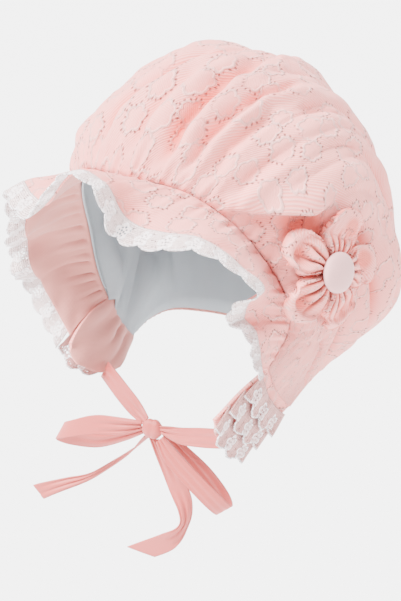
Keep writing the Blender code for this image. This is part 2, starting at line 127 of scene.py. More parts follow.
# Brim and its lace. SEAM_TUCK and LACE_LAP are shares of the brim: how far its cloth runs on
# under the seam, and how far the lace laps over the cloth. LACE_FROM is where along the seam
# the lace begins, on the right. The brim is more ruffled there, by FAR_RUFFLE and FAR_RIPPLE.
BRIM_REACH = 0.050
BRIM_WALL = 0.0016
BRIM_HUMP = 0.10
BRIM_PUCKER = 0.0011
BRIM_RUFFLE = 0.0017
FAR_RUFFLE = 0.0024
BRIM_RIPPLE = 0.0006
FAR_RIPPLE = 0.0008
SEAM_TUCK = 0.03
LACE_SHARE = 0.27
LACE_LAP = 0.03
LACE_FROM = -0.985
LACE_WALL = 0.0008
SCALLOP_COUNT = 34
SCALLOP_DEPTH = 0.05
PICOT_DEPTH = 0.018

# Ear flaps and their lace tiers. FLAP_BULGE, TIER_START and TIER_STEP are shares of the flap's
# length, and a tier runs across from TIER_FROM to TIER_TO. The right flap is puffed the more,
# by FAR_PUFF.
FLAP_LENGTH = 0.045
FLAP_WALL = 0.0022
FLAP_BULGE = 0.05
FLAP_FOLD = 0.0012
FAR_PUFF = 0.0050
TIER_COUNT = 3
TIER_START = 0.12
TIER_STEP = 0.30
TIER_FROM = {"left": -1.05, "right": -0.95}
TIER_TO = 1.03
TIER_DROP = 0.0170
TIER_FLARE = 0.0030
TIER_RIPPLE = 0.0011
TIER_REPEATS = 3

# Flower. A petal has a raised rim at its sides and a lip at its end, and lies PETAL_LIFT and
# more above the highest part of the crown within PETAL_SPREAD.
PETAL_COUNT = 5
PETAL_LENGTH = 0.037
PETAL_INNER = 0.006
PETAL_PUFF = 0.0055
PETAL_WALL = 0.0024
PETAL_RIM = 0.0030
PETAL_LIP = 0.0032
PETAL_HOLLOW = 0.0050
PETAL_LIFT = 0.0022
PETAL_SPREAD = 0.0040
PETAL_DROOP = 0.20
BUTTON_RADIUS = 0.0118
BUTTON_HEIGHT = 0.0060
BUTTON_SEAT = 0.0052

# Chin ties. RIBBON_FOLD is the height of a ribbon's lengthwise folds, as a share of its width.
RIBBON_WIDTH = 0.0125
RIBBON_WALL = 0.0008
RIBBON_FOLD = 0.16
KNOT_LENGTH = 0.0130
KNOT_HEIGHT = 0.0120
KNOT_DEPTH = 0.0090
KNOT_FORWARD = 0.043
KNOT_DROP = 0.106
BOW_TURN = math.radians(25)
TIE_BEHIND = 0.0010

GAP = 0.0004
HEAD_CENTRE = np.array([0, -CROWN_BACK, -SEAT_HEIGHT])

# One row for each line that runs from the face seam over the crown to the nape edge, from
# the right ear flap, -1, to the left one, 1, in shares of the sizes above.
LINE_COLUMNS = (
    "along", "seam_side", "seam_forward", "seam_up", "over", "lean",
    "nape_side", "nape_back", "nape_down",
)
CROWN_LINES = (
    (-1.00, -0.92, 0.256, -0.833, -142, -0.18, -1.00, 0.03, 1.08),
    (-0.80, -0.97, 0.359, -0.433, -116, -0.02, -0.98, 0.23, 0.96),
    (-0.62, -0.97, 0.462, 0.033, -90, 0.12, -0.91, 0.45, 0.91),
    (-0.45, -0.84, 0.667, 0.500, -64, 0.30, -0.74, 0.70, 0.94),
    (-0.25, -0.54, 0.900, 0.867, -36, 0.42, -0.44, 0.92, 0.98),
    (0.00, 0.00, 1.000, 1.000, 0, 0.45, 0.00, 1.00, 0.97),
    (0.25, 0.54, 0.808, 0.950, 36, 0.42, 0.44, 0.92, 0.98),
    (0.45, 0.86, 0.538, 0.583, 64, 0.32, 0.74, 0.70, 0.94),
    (0.62, 0.99, 0.231, 0.000, 90, 0.18, 0.91, 0.45, 0.91),
    (0.80, 1.00, 0.141, -0.400, 116, 0.02, 0.98, 0.23, 0.96),
    (1.00, 0.92, 0.256, -0.833, 142, -0.18, 1.00, 0.03, 1.08),
)

# The crown's deep creases: place along the seam, how far they drift on their way over the
# crown, width, depth as a share of GATHER_DEPTH, and where they start and end.
CREASE_COLUMNS = ("along", "drift", "width", "depth", "start", "end")
CREASES = (
    (-0.28, 0.02, 0.024, 0.6, 0.00, 0.34),
    (-0.175, 0.45, 0.026, 1.3, 0.00, 0.42),
    (-0.02, 0.00, 0.020, 0.8, 0.00, 0.30),
    (0.105, -0.18, 0.026, 1.8, 0.00, 0.60),
    (0.174, 0.03, 0.016, 1.1, 0.00, 0.46),
    (0.250, -0.10, 0.020, 0.8, 0.00, 0.30),
    (0.330, 0.10, 0.020, 0.6, 0.00, 0.26),
    (-0.40, -0.10, 0.034, 1.1, 0.00, 0.42),
    (-0.55, -0.10, 0.030, 0.8, 0.00, 0.36),
    (0.60, 0.05, 0.022, 0.8, 0.00, 0.24),
    (0.72, 0.05, 0.030, 0.6, 0.00, 0.30),
)

# The valleys between the crown's big gathers over the back of the head, as places along the
# seam, and how deep each one is as a share of GATHER_DEPTH.
VALLEY_COLUMNS = ("along", "depth")
VALLEYS = (
    (-1.03, 0.8),
    (-0.88, 0.9),
    (-0.74, 0.9),
    (-0.61, 0.9),
    (-0.49, 0.9),
    (-0.36, 0.9),
    (-0.22, 0.8),
    (-0.06, 0.9),
    (0.115, 1.0),
    (0.275, 1.2),
    (0.385, 1.0),
    (0.595, 1.0),
    (0.74, 0.9),
    (0.88, 0.9),
    (1.03, 0.8),
)

# Where the crown swells past the ellipsoid: the way to the middle of each swelling, its
# spread and its height, both in shares of CROWN_HALF_HEIGHT.
SWELL_COLUMNS = ("side", "back", "up", "spread", "height")
SWELLS = (
    (-0.55, -0.72, 0.42, 0.50, 0.10),
    (0.10, -0.85, 0.50, 0.40, -0.04),
    (0.42, 0.66, 0.62, 0.45, -0.06),
    (0.99, 0.10, -0.02, 0.42, -0.10),
    (0.73, 0.51, -0.47, 0.30, 0.062),
    (0.80, 0.54, -0.25, 0.30, 0.050),
    (-0.76, 0.53, -0.36, 0.35, 0.070),
    (0.69, 0.72, 0.04, 0.30, -0.035),
    (0.52, 0.80, 0.31, 0.30, -0.046),
    (0.09, 0.48, 0.87, 0.30, 0.044),
    (-0.42, 0.11, 0.90, 0.30, 0.051),
    (-0.62, -0.43, 0.65, 0.30, -0.076),
    (-0.83, -0.49, 0.27, 0.30, 0.028),
    (-0.765, -0.49, 0.42, 0.20, -0.070),
    (-0.77, -0.62, 0.20, 0.20, 0.045),
)

# The puff that hangs over its neighbour above the flower: its edge from seam to back.
OVERHANG_COLUMNS = ("down", "along")
OVERHANG = ((0.0, 0.34), (0.05, 0.405), (0.11, 0.452), (0.21, 0.49), (0.34, 0.51))

# The brim's outer edge from the right flap to the left one: how far it lies from the seam,
# in shares of BRIM_REACH, to the wearer's left, forward and up.
EDGE_COLUMNS = ("along", "side", "forward", "up")
BRIM_EDGE = (
    (-1.00, 0.08, 0.84, -0.46),
    (-0.90, -0.30, 0.70, -0.40),
    (-0.80, -0.56, 0.66, -0.28),
    (-0.71, -0.58, 0.74, -0.40),
    (-0.62, -0.66, 0.66, -0.34),
    (-0.53, -0.54, 0.76, -0.46),
    (-0.45, -0.54, 0.66, -0.46),
    (-0.37, -0.58, 0.66, -0.28),
    (-0.29, -0.54, 0.72, -0.24),
    (-0.21, -0.40, 0.78, -0.46),
    (-0.14, -0.24, 0.84, -0.50),
    (-0.07, -0.10, 0.96, -0.16),
    (0.00, -0.03, 0.96, 0.18),
    (0.10, 0.03, 0.94, 0.10),
    (0.20, -0.14, 0.88, -0.42),
    (0.30, 0.00, 0.90, -0.36),
    (0.40, 0.30, 0.90, -0.06),
    (0.50, 0.46, 0.84, 0.02),
    (0.58, 0.46, 0.82, 0.12),
    (0.66, 0.00, 0.94, 0.16),
    (0.74, -0.24, 0.84, 0.04),
    (0.82, 0.04, 0.80, 0.12),
    (0.90, 0.12, 0.64, 0.08),
    (1.00, 0.26, 0.44, 0.06),
)

# The ear flaps' lower corners from the upper ones, in shares of FLAP_LENGTH.
FLAP_COLUMNS = (
    "front_in", "front_forward", "front_down", "back_in", "back_forward", "back_down",
)
FLAPS = {
    "left": (0.18, 0.80, 0.58, 0.27, 0.62, 0.62),
    "right": (0.12, 0.92, 0.50, 0.34, 0.58, 0.30),
}

# Where the flower sits on the crown and the way it faces.
FLOWER_HEADING = (0.985, -0.115, -0.045)
FLOWER_FACING = (0.98, -0.02, 0.18)
FIRST_PETAL = math.radians(69)

# Each petal's own form: how far its pleats reach out, how deep its hollow is, to which side
# the hollow lies, and how far it tips up.
PETAL_COLUMNS = ("reach", "hollow", "side", "tip")
PETALS = (
    (0.70, 1.2, -0.25, 0.0018),
    (0.80, 0.7, 0.20, 0.0006),
    (0.85, 0.8, -0.10, 0.0010),
    (0.90, 0.6, 0.15, 0.0000),
    (0.75, 1.0, 0.25, 0.0014),
)

# Ribbon routes from the knot's centre, in shares of RIBBON_WIDTH: across to the wearer's
# left, up, and back, then the width's direction in the bow's plane in degrees from
# across, its tilt out of that plane, and the width's share.
RIBBON_COLUMNS = ("across", "up", "back", "turn", "tilt", "width")
LOOP_RIGHT = (
    (-0.54, 0.12, -0.10, 82, 0, 0.45),
    (-1.50, 0.00, -0.34, 88, 6, 0.80),
    (-2.90, -0.20, -0.42, 84, 10, 1.00),
    (-4.20, -0.74, -0.30, 74, 8, 1.00),
    (-4.78, -1.16, 0.12, 66, 4, 1.00),
    (-4.20, -1.46, 0.50, 74, 0, 1.00),
    (-2.90, -1.40, 0.56, 88, -6, 0.90),
    (-1.50, -0.80, 0.44, 92, -6, 0.66),
    (-0.54, -0.24, 0.26, 90, 0, 0.42),
)
LOOP_LEFT = (
    (0.46, -0.36, -0.20, 48, 0, 0.45),
    (1.20, -1.10, -0.42, 44, 4, 0.80),
    (2.40, -2.10, -0.48, 42, 6, 0.90),
    (3.46, -3.06, -0.34, 40, 4, 0.95),
    (3.86, -3.52, 0.06, 40, 0, 0.95),
    (3.50, -3.06, 0.44, 40, 0, 0.95),
    (2.55, -2.00, 0.50, 42, -4, 0.90),
    (1.40, -0.95, 0.42, 48, -4, 0.66),
    (0.56, -0.12, 0.18, 50, 0, 0.42),
)
TAIL_RIGHT = (
    (-0.28, -0.455, 0.22, 26, 0, 0.36),
    (-1.20, -1.70, 1.00, 50, 0, 0.70),
    (-2.40, -2.90, 1.30, 54, 0, 0.90),
    (-3.50, -3.72, 0.90, 62, 30, 0.60),
    (-4.70, -4.30, 0.70, 74, 20, 0.80),
    (-6.00, -4.95, 0.60, 88, 0, 1.00),
)
TAIL_LEFT = (
    (0.10, -0.50, 0.00, 0, 0, 0.40),
    (0.75, -1.60, 0.10, 24, 0, 0.80),
    (1.45, -2.90, 0.10, 18, 0, 1.00),
    (1.90, -3.90, 0.00, 12, 30, 0.70),
    (1.85, -4.80, 0.00, -12, 50, 0.60),
    (1.10, -5.80, 0.00, -40, 10, 1.00),
    (-0.30, -6.75, 0.10, -46, 0, 1.00),
)

# Each tie's place across its flap. Its rows: share of the way to the knot, the width's share,
# its twist in degrees, and how far it sags, in shares of RIBBON_WIDTH.
TIE_PLACE = {"left": 0.0, "right": 0.55}
TIE_ROWS = {
    "left": ((-0.05, 0.95, 0, 0), (0.35, 0.90, 25, 0.10), (0.7, 0.80, 40, 0.15), (1, 0.44, 0, 0)),
    "right": ((-0.06, 0.95, 0, 0), (0.35, 1.00, 0, 0.05), (0.7, 0.92, 0, 0.05), (1, 0.44, 0, 0)),
}
TAIL_CUTS = {"right": 0.10, "left": -0.09}

# The sizes each piece of cloth is cut to before it is gathered and sewn, width by length.
LACE_CUT = (0.60, 0.0135)
TIER_CUT = (0.062, 0.017)

# The columns and rows of the grid that each piece of cloth is laid with.
CROWN_GRID = (384, 104)
LINING_GRID = (120, 60)
BRIM_GRID = (420, 26)
FLAP_GRID = (48, 40)
PETAL_GRID = (96, 56)
TIE_GRID = (60, 14)
LOOP_GRID = (120, 14)
TAIL_GRID = (110, 14)

# The eyelets of one repeat of the lace, which runs from the middle of one scallop to the
# middle of the next: place along the repeat, place across the band and diameter.
EYELET_COLUMNS = ("along", "across", "size")
EYELETS = (
    (0.00, 0.30, 1.3), (-0.10, 0.38, 1.1), (0.10, 0.38, 1.1), (-0.045, 0.49, 1.2),
    (0.055, 0.50, 1.2), (-0.15, 0.52, 1.0), (0.155, 0.53, 1.0), (0.005, 0.63, 1.3),
    (-0.10, 0.66, 1.0), (0.105, 0.67, 1.0), (-0.30, 0.20, 0.9), (0.30, 0.20, 0.9),
    (-0.24, 0.34, 0.8), (0.25, 0.33, 0.8), (-0.27, 0.76, 0.8), (0.28, 0.76, 0.8),
    (-0.42, 0.52, 0.8), (0.43, 0.50, 0.8), (-0.38, 0.80, 0.7), (0.39, 0.81, 0.7),
    (0.00, 0.79, 0.8), (-0.19, 0.81, 0.7), (0.20, 0.80, 0.7),
)

# The rows of stitches: shares of the brim up from its lace, and places across the ear flaps.
HEM_ROWS = (0.030, 0.075)
FLAP_ROWS = (0.86, 0.93)

# The photograph's height and its scale at the head in pixels, and how far the camera aims to
# the left of the head's centre and below it.
PHOTO_HEIGHT = 601
PIXELS_PER_METRE = 1680
SENSOR_WIDTH = 36
AIM_LEFT = 0.0073
AIM_DOWN = 0.0312

# Each light: its name, the way to it, its spread in degrees and its share of the key's strength.
LIGHTS = (
    ("key", (-0.32, -0.66, 0.95), 30, 1.0),
    ("side", (0.90, -0.30, 0.50), 40, 0.08),
    ("back", (0.40, 1.10, 0.90), 50, 0.20),
)

# The colour inputs of a Mix node, and a Map Range node's range from one down to nought.
FIRST_COLOUR, SECOND_COLOUR = 6, 7
FALLING = {"To Min": 1.0, "To Max": 0.0}


def linear(code):
    """An sRGB hex colour as linear red, green and blue."""
    parts = [int(code[i : i + 2], 16) / 255 for i in (1, 3, 5)]
    return tuple(c / 12.92 if c <= 0.04045 else ((c + 0.055) / 1.055) ** 2.4 for c in parts)


def table(columns, rows):
    """The columns of a table by name."""
    return {name: np.array([row[i] for row in rows], float) for i, name in enumerate(columns)}


def smooth(knots, values, at):
    """A smooth curve through the values, read at the given places."""
    at = np.clip(np.asarray(at, float), knots[0], knots[-1])
    slopes = np.gradient(values, knots)
    i = np.clip(np.searchsorted(knots, at, side="right") - 1, 0, len(knots) - 2)
    span = knots[i + 1] - knots[i]
    s = (at - knots[i]) / span
    start = (1 + 2 * s) * (1 - s) ** 2 * values[i] + s * (1 - s) ** 2 * span * slopes[i]
    end = s**2 * (3 - 2 * s) * values[i + 1] + s**2 * (s - 1) * span * slopes[i + 1]
    return start + end


def ease(x):
    """Nought to one with level ends."""
    x = np.clip(x, 0, 1)
    return x * x * (3 - 2 * x)


def unit(v):
    """The same direction with a length of one."""
    return v / np.linalg.norm(v, axis=-1, keepdims=True)


def waves(x, y, seed, count=7):
    """Soft random waves, the same for the same seed."""
    random = np.random.default_rng(seed)
    total = np.zeros_like(np.asarray(x, float))
    for _ in range(count):
        ahead, aside = random.normal(0, 1, 2)
        total = total + np.sin(ahead * x + aside * y + random.uniform(0, math.tau))
    return total / math.sqrt(count)


LINES = table(LINE_COLUMNS, CROWN_LINES)
EDGE = table(EDGE_COLUMNS, BRIM_EDGE)
HANG = table(OVERHANG_COLUMNS, OVERHANG)
CENTRE = np.array([0, CROWN_BACK, CROWN_LIFT])
CROWN_SIZE = np.array([CROWN_HALF_WIDTH, CROWN_HALF_DEPTH, CROWN_HALF_HEIGHT])
LINING_TOP = SEAT_HEIGHT + LINING_WALL - CROWN_LIFT
LINING_SIZE = np.array([LINING_HALF_WIDTH, LINING_HALF_DEPTH, LINING_TOP])
LINING_INSET = CROWN_WALL + 4 * GAP


def line(name, u):
    """A column of the crown's lines, read at places along the seam."""
    return smooth(LINES["along"], LINES[name], u)


def seam(u):
    """The face seam, where the brim is sewn to the crown."""
    side = line("seam_side", u) * SEAM_HALF_WIDTH
    forward = -line("seam_forward", u) * SEAM_REACH
    return np.stack([side, forward, line("seam_up", u) * SEAM_RISE], -1)


def nape(u):
    """The crown's lower edge round the back of the neck."""
    side = line("nape_side", u) * NAPE_HALF_WIDTH
    back = line("nape_back", u) * NAPE_REACH
    return np.stack([side, back, -line("nape_down", u) * NAPE_DROP], -1)


def dome(u, t, size, inset):
    """A hood over the seam and nape edges that fills out to the ellipsoid between them."""
    front = seam(u) - CENTRE
    back = nape(u) - CENTRE
    front -= unit(front) * inset
    back -= unit(back) * inset
    over = np.radians(line("over", u))
    middle = unit(np.stack([np.sin(over), line("lean", u), np.cos(over)], -1))
    t = t[..., None]
    heading = unit(front) * (1 - t) * (1 - 2 * t) + middle * 4 * t * (1 - t)
    heading = unit(heading + unit(back) * t * (2 * t - 1))
    edge = np.linalg.norm(front, axis=-1, keepdims=True) * (1 - t)
    edge = edge + np.linalg.norm(back, axis=-1, keepdims=True) * t
    full = 1 / np.linalg.norm(heading / size, axis=-1, keepdims=True)
    power = PUFF_POWER - PUFF_EASE * ease((0.5 - t) / 0.3)
    fill = np.maximum(1 - np.abs(1 - 2 * t) ** power, 0) * (1 - np.abs(u[..., None]) ** 6)
    return CENTRE + heading * (edge + (full - edge) * fill), heading


def big_gathers(u, t):
    """Puffs between the valleys over the back of the head, which wander a little."""
    valley = table(VALLEY_COLUMNS, VALLEYS)
    wander = 0.010 + 0.026 * ease((t - 0.45) / 0.3)
    place = u + wander * waves(6 * t, 3 * u, 11) * ease((1 - np.abs(u)) / 0.1)
    i = np.clip(np.searchsorted(valley["along"], place, side="right") - 1, 0, len(VALLEYS) - 2)
    s = np.clip((place - valley["along"][i]) / (valley["along"][i + 1] - valley["along"][i]), 0, 1)
    depth = valley["depth"][i] * (1 - ease(s)) + valley["depth"][i + 1] * ease(s)
    uneven = 0.45 * waves(5 * t, 11 * u, 12) * ease((t - 0.35) / 0.2)
    depth = depth * (1 + uneven * ease((1 - np.abs(u)) / 0.2))
    return depth * (np.abs(np.sin(math.pi * s)) ** 0.6 - 0.75)


def gathers(u, t):
    """Height of the puffs between gathers, with the deep creases taken out."""
    rise = 1 - np.abs(1 - 2 * t) ** 4
    place = (u + 1) / 2 * GATHER_COUNT + 0.10 * waves(9 * t, 5 * u, 5)
    fine = np.abs(np.sin(math.pi * place)) ** 0.7 - 0.6
    puff = (fine * (0.40 + 0.05 * t) + big_gathers(u, t) * (0.1 + 2.0 * t)) * rise
    for row in CREASES:
        crease = dict(zip(CREASE_COLUMNS, row))
        middle = crease["along"] + crease["drift"] * t + 0.006 * waves(30 * t, 0 * u, 3)
        across = np.exp(-(((u - middle) / crease["width"]) ** 2))
        edge = 0.55 * np.exp(-(((u - middle - 1.7 * crease["width"]) / crease["width"]) ** 2))
        gone = ease((t - 0.4 * crease["end"]) / (0.6 * crease["end"]))
        reach = ease((t - crease["start"]) / 0.08) * (1 - gone)
        puff = puff - 0.75 * crease["depth"] * (across - edge) * reach
    return GATHER_DEPTH * puff * (1 - np.abs(u) ** 8)


def overhang(u, t):
    """The fold above the flower: its height, and how far it leans over its neighbour."""
    away = u - smooth(HANG["down"], HANG["along"], t)
    near = ease((t + 0.01) / 0.05) * (1 - ease((t - 0.13) / 0.11))
    puff = np.where(away < 0, np.exp(-((away / 0.05) ** 2)), np.exp(-((away / 0.010) ** 2)))
    hollow = np.where(away > 0, away / 0.040 * np.exp(1 - away / 0.040), 0)
    deep = FOLD_HOLLOW + POCKET_DEPTH * ease((t - 0.04) / 0.09)
    lean = FOLD_LEAN * np.exp(-(((away + 0.010) / 0.022) ** 2)) * near
    return (FOLD_HEIGHT * puff - deep * hollow) * near, lean


def fine_wrinkles(u, t):
    """Puckers at the face seam and the nape edge and faint wrinkles between them."""
    pucker = np.sin(150 * u + 2.0 * waves(9 * u, 30 * t, 21)) + 0.6 * np.sin(233 * u + 1.0)
    edge = np.exp(-t / 0.035) * ease(t / 0.008)
    edge = edge + 0.7 * np.exp(-(1 - t) / 0.05) * ease((1 - t) / 0.01)
    soft = waves(46 * u, 26 * t, 22, 12) + 0.5 * waves(95 * u, 50 * t, 23, 12)
    soft = soft + 2.2 * waves(15 * u, 13 * t, 24) * ease((t - 0.4) / 0.3)
    middle = ease(t / 0.05) * ease((1 - t) / 0.05)
    return pucker * edge, soft * middle


def crown_surface(u, t, pucker_height, wrinkle_height):
    """The crown's cloth: its dome with the gathers, the fold, the wrinkles and the swellings."""
    fold, lean = overhang(u, t)
    u = np.clip(u + lean, -1, 1)
    place, heading = dome(u, t, CROWN_SIZE, 0)
    pucker, soft = fine_wrinkles(u, t)
    height = gathers(u, t) + fold + (pucker * pucker_height + soft * wrinkle_height) * (1 - u**8)
    for row in SWELLS:
        swell = dict(zip(SWELL_COLUMNS, row))
        middle = unit(np.array([swell["side"], swell["back"], swell["up"]]))
        away = np.linalg.norm(heading - middle, axis=-1) / swell["spread"]
        height = height + CROWN_HALF_HEIGHT * swell["height"] * np.exp(-(away**2)) * ease(t / 0.15)
    return place + heading * height[..., None]


def crown_painted_shade(u, t):
    """Painted shade for the crown, from how deep in the creases and under the overhanging fold the
    cloth lies.
    """
    fold, lean = overhang(u, t)
    depth = -(gathers(np.clip(u + lean, -1, 1), t) + fold) / GATHER_DEPTH
    return 0.62 * ease((depth - 0.05) / 1.15)


def lining_surface(u, t):
    """The lining's cloth, which lies close to the crown at the seams and hangs free inside."""
    least = CROWN_WALL + GAP
    slack = LINING_SLACK * np.exp(-(((t - 0.07) / 0.05) ** 2))
    inset = least + (LINING_INSET - least + slack) * ease(t / 0.05)
    inset = least + (inset - least) * ease((1 - np.abs(u)) / 0.06)
    place, heading = dome(u, t, LINING_SIZE, inset[..., None])
    soft = LINING_SAG * waves(8 * u, 7 * t, 31) + LINING_WRINKLE * waves(24 * u, 16 * t, 32)
    return place - heading * (np.abs(soft) * ease(t / 0.1) * ease((1 - t) / 0.1))[..., None]


def brim_surface(u, share):
    """The brim and its lace: share runs from the seam, 0, to the outer edge, 1."""
    parts = [smooth(EDGE["along"], EDGE[name], u) for name in ("side", "forward", "up")]
    reach = np.stack([parts[0], -parts[1], parts[2]], -1) * BRIM_REACH
    start = unit(reach) * GAP
    share = share[..., None]
    hump = BRIM_HUMP * BRIM_REACH * np.sin(math.pi * share) * np.array([0, -0.3, 0.6])
    return seam(u) + start + reach * share + hump


def brim_detail(u, share):
    """The brim with its puckers at the seam and soft waves towards the edge."""
    place = brim_surface(u, share)
    step = 1e-4
    ahead, behind = np.clip(u + step, -1, 1), np.clip(u - step, -1, 1)
    along = brim_surface(ahead, share) - brim_surface(behind, share)
    out = brim_surface(u, share + step) - brim_surface(u, share - step)
    normal = unit(np.cross(out, along))
    pucker = np.sin(120 * u + waves(8 * u, share, 41)) + 0.5 * np.sin(201 * u)
    pucker = BRIM_PUCKER * pucker * np.exp(-share / 0.22)
    far = ease((-u - 0.3) / 0.3)
    soft = (BRIM_RUFFLE + FAR_RUFFLE * far) * waves(22 * u, 4 * share, 42) * ease(share)
    ripple = (BRIM_RIPPLE + FAR_RIPPLE * far) * waves(60 * u, 9 * share, 43) * ease(share)
    height = (pucker + (soft + ripple)) * ease(share / 0.06)
    height = height * (1 - ease((share - 0.9) / 0.1) * 0.4) - GAP * (1 - ease(share / 0.04))
    return place + normal * height[..., None], normal, height


def flap_surface(side, across, down):
    """An ear flap: across runs from its front edge, -1, to its back edge, 1."""
    corner = dict(zip(FLAP_COLUMNS, FLAPS[side]))
    sign = 1 if side == "left" else -1
    place = (across + 1) / 2
    top = dome(np.full_like(place, sign), place, CROWN_SIZE, 0)[0]
    drops = []
    for end in ("front", "back"):
        drop = [-sign * corner[end + "_in"], -corner[end + "_forward"], -corner[end + "_down"]]
        drops.append(np.array(drop) * FLAP_LENGTH)
    place = place[..., None]
    drop = drops[0] * (1 - place) + drops[1] * place
    across_flap = nape(np.array(1.0 * sign)) - seam(np.array(1.0 * sign))
    outward = unit(np.cross(across_flap, drop)) * -sign
    bulge = FLAP_BULGE * FLAP_LENGTH * (1 - across**2) * np.sin(math.pi * np.clip(down, 0, 1))
    start = unit(drop) * 3 * GAP
    return top + start + drop * down[..., None] + outward * bulge[..., None], outward


def flap_detail(side, across, down):
    """An ear flap with its soft folds; the right one is puffed and rounded below."""
    far = 1.0 if side == "right" else 0.25
    low = down * (1 - 0.20 * far * ease((np.abs(across) - 0.35) / 0.65))
    low = low - (0.07 + 0.10 * far * ease(-across - 0.2)) * (1 - ease(down / 0.15))
    place, outward = flap_surface(side, across, low)
    bow = np.sin(math.pi * np.clip(down, 0, 1))
    front = far * ease((-across - 0.4) / 0.6) * bow
    place = place + 0.13 * BRIM_REACH * front[..., None] * np.array([0.1, -0.5, 0.6])
    place = place - outward * 0.0006 * (1 - ease(down / 0.12))[..., None]
    soft = 0.0007 * waves(5 * across, 4 * down, 51)
    soft = soft + 0.0006 * np.sin(16 * across) * np.exp(-down / 0.3)
    folds = np.sin(11 * across + 3 * down + waves(2 * across, 3 * down, 52))
    folds = FLAP_FOLD * far * folds * np.exp(-down / 0.7)
    puff = -FAR_PUFF * far * (1 - across**2) * bow**0.8
    return place + outward * ((soft + folds) * ease(down / 0.1) * 0.8 + puff)[..., None]


def tier_surface(side, level, across, down):
    """A lace tier sewn across the flap, standing off it more towards its lower edge."""
    first = TIER_FROM[side]
    wide = first + (TIER_TO - first) * (across + 1) / 2
    low = TIER_START + level * TIER_STEP + down * TIER_DROP / FLAP_LENGTH
    place = flap_detail(side, wide, low)
    outward = flap_surface(side, wide, low)[1]
    ripple = (1 + np.sin(across * math.pi * 2.5 + level)) * TIER_RIPPLE
    stand = LACE_WALL + 2 * GAP + (TIER_FLARE + ripple) * down
    fine = 0.0004 * np.sin(across * math.pi * 9 + level) * down
    return place + outward * (stand + fine)[..., None]


def crown_under(centre, right, up, facing, places, spread):
    """The crown's height under places in the flower's plane, its highest within spread. The
    flower rests on the crown without its fine wrinkles."""
    u, t = np.meshgrid(np.linspace(0.1, 1, 241), np.linspace(0, 1, 161))
    crown = crown_surface(u.ravel(), t.ravel(), 0.0, 0.0) - centre
    flat = np.stack([crown @ right, crown @ up], -1)
    close = np.linalg.norm(flat, axis=-1) < PETAL_LENGTH * 1.3
    flat, height = flat[close], (crown @ facing)[close]
    found = np.empty(len(places))
    for start in range(0, len(places), 400):
        part = places[start : start + 400]
        near = np.linalg.norm(part[:, None] - flat, axis=-1) < spread
        found[start : start + 400] = np.where(near, height, -np.inf).max(1)
    return found


def flower_frame():
    """Centre and axes of the flower, set on the crown under its middle."""
    facing = unit(np.array(FLOWER_FACING))
    right = unit(np.cross([0, 0, 1], facing))
    up = np.cross(facing, right)
    heading = unit(np.array(FLOWER_HEADING))
    centre = CENTRE + heading / np.linalg.norm(heading / CROWN_SIZE)
    middle = np.zeros((1, 2))
    rise = crown_under(centre, right, up, facing, middle, BUTTON_RADIUS / 2)[0]
    return centre + facing * (rise + PETAL_WALL + GAP), right, up, facing


def petal_droop(radius):
    """How far the flower falls back from its centre to follow the crown."""
    return -PETAL_DROOP * PETAL_LENGTH * (radius / PETAL_LENGTH) ** 2


def petal_shape(number, across, out, pleat_depth):
    """One petal along +X: its place in the flower's plane, its height, and the painted shade in its
    pleats, its hollow and along its edges.
    """
    form = dict(zip(PETAL_COLUMNS, PETALS[number]))
    aside = np.abs(across)
    slot = math.pi / PETAL_COUNT
    length = PETAL_LENGTH * (1 - 0.15 * aside**2.3)
    radius = PETAL_INNER + (length - PETAL_INNER) * out
    narrow = 1 - 0.36 * ease((out - 0.50) / 0.50) ** 1.3 - 0.10 * (1 - ease(out / 0.5))
    angle = across * (slot - np.arcsin(GAP / radius)) * narrow
    place = across * 2.0 + 0.12 * waves(6 * out, 2 * across, 60 + number)
    groove = 1 - np.abs(np.cos(math.pi * place)) ** 0.5
    fade = 1 - ease((out - 0.50 * form["reach"]) / (0.60 * form["reach"]))
    fade = fade * (1 - across**6)
    swell = PETAL_PUFF * np.sin(math.pi * out**0.75) * (1 - across**4)
    rim = PETAL_RIM * ease((aside - 0.50) / 0.32) * ease(out / 0.3)
    rim = rim * (1 - ease((aside - 0.90) / 0.10))
    lip = PETAL_LIP * ease((out - 0.74) / 0.14) * (1 - ease((out - 0.92) / 0.08))
    hollow = np.exp(-(((across - form["side"]) / 0.40) ** 2) - ((out - 0.66) / 0.17) ** 2)
    hollow = hollow * form["hollow"]
    height = petal_droop(radius) + swell + pleat_depth * (0.40 - groove) * fade
    height = height + rim + lip - PETAL_HOLLOW * hollow + form["tip"] * out
    # Painted shade: dark lines at the petal's sides and outer end stand for the shadow where it meets
    # its neighbours and the crown, and the pleats and hollow are darkened too.
    edge = ease((aside - 0.93) / 0.07) * ease(out / 0.3)
    edge = np.maximum(edge, 0.8 * ease((out - 0.965) / 0.035))
    deep = np.maximum(ease(groove * 1.9) * fade, 0.62 * ease(hollow * 1.4))
    return radius, angle, height, np.maximum(deep, 0.72 * edge)


def knot_centre():
    """The middle of the bow's knot from the head's centre."""
    return np.array([0, -KNOT_FORWARD, -KNOT_DROP])


def bow_axes():
    """The bow's own ways across, to the wearer's left, and back."""
    across = np.array([math.cos(BOW_TURN), math.sin(BOW_TURN), 0])
    back = np.array([-math.sin(BOW_TURN), math.cos(BOW_TURN), 0])
    return across, back


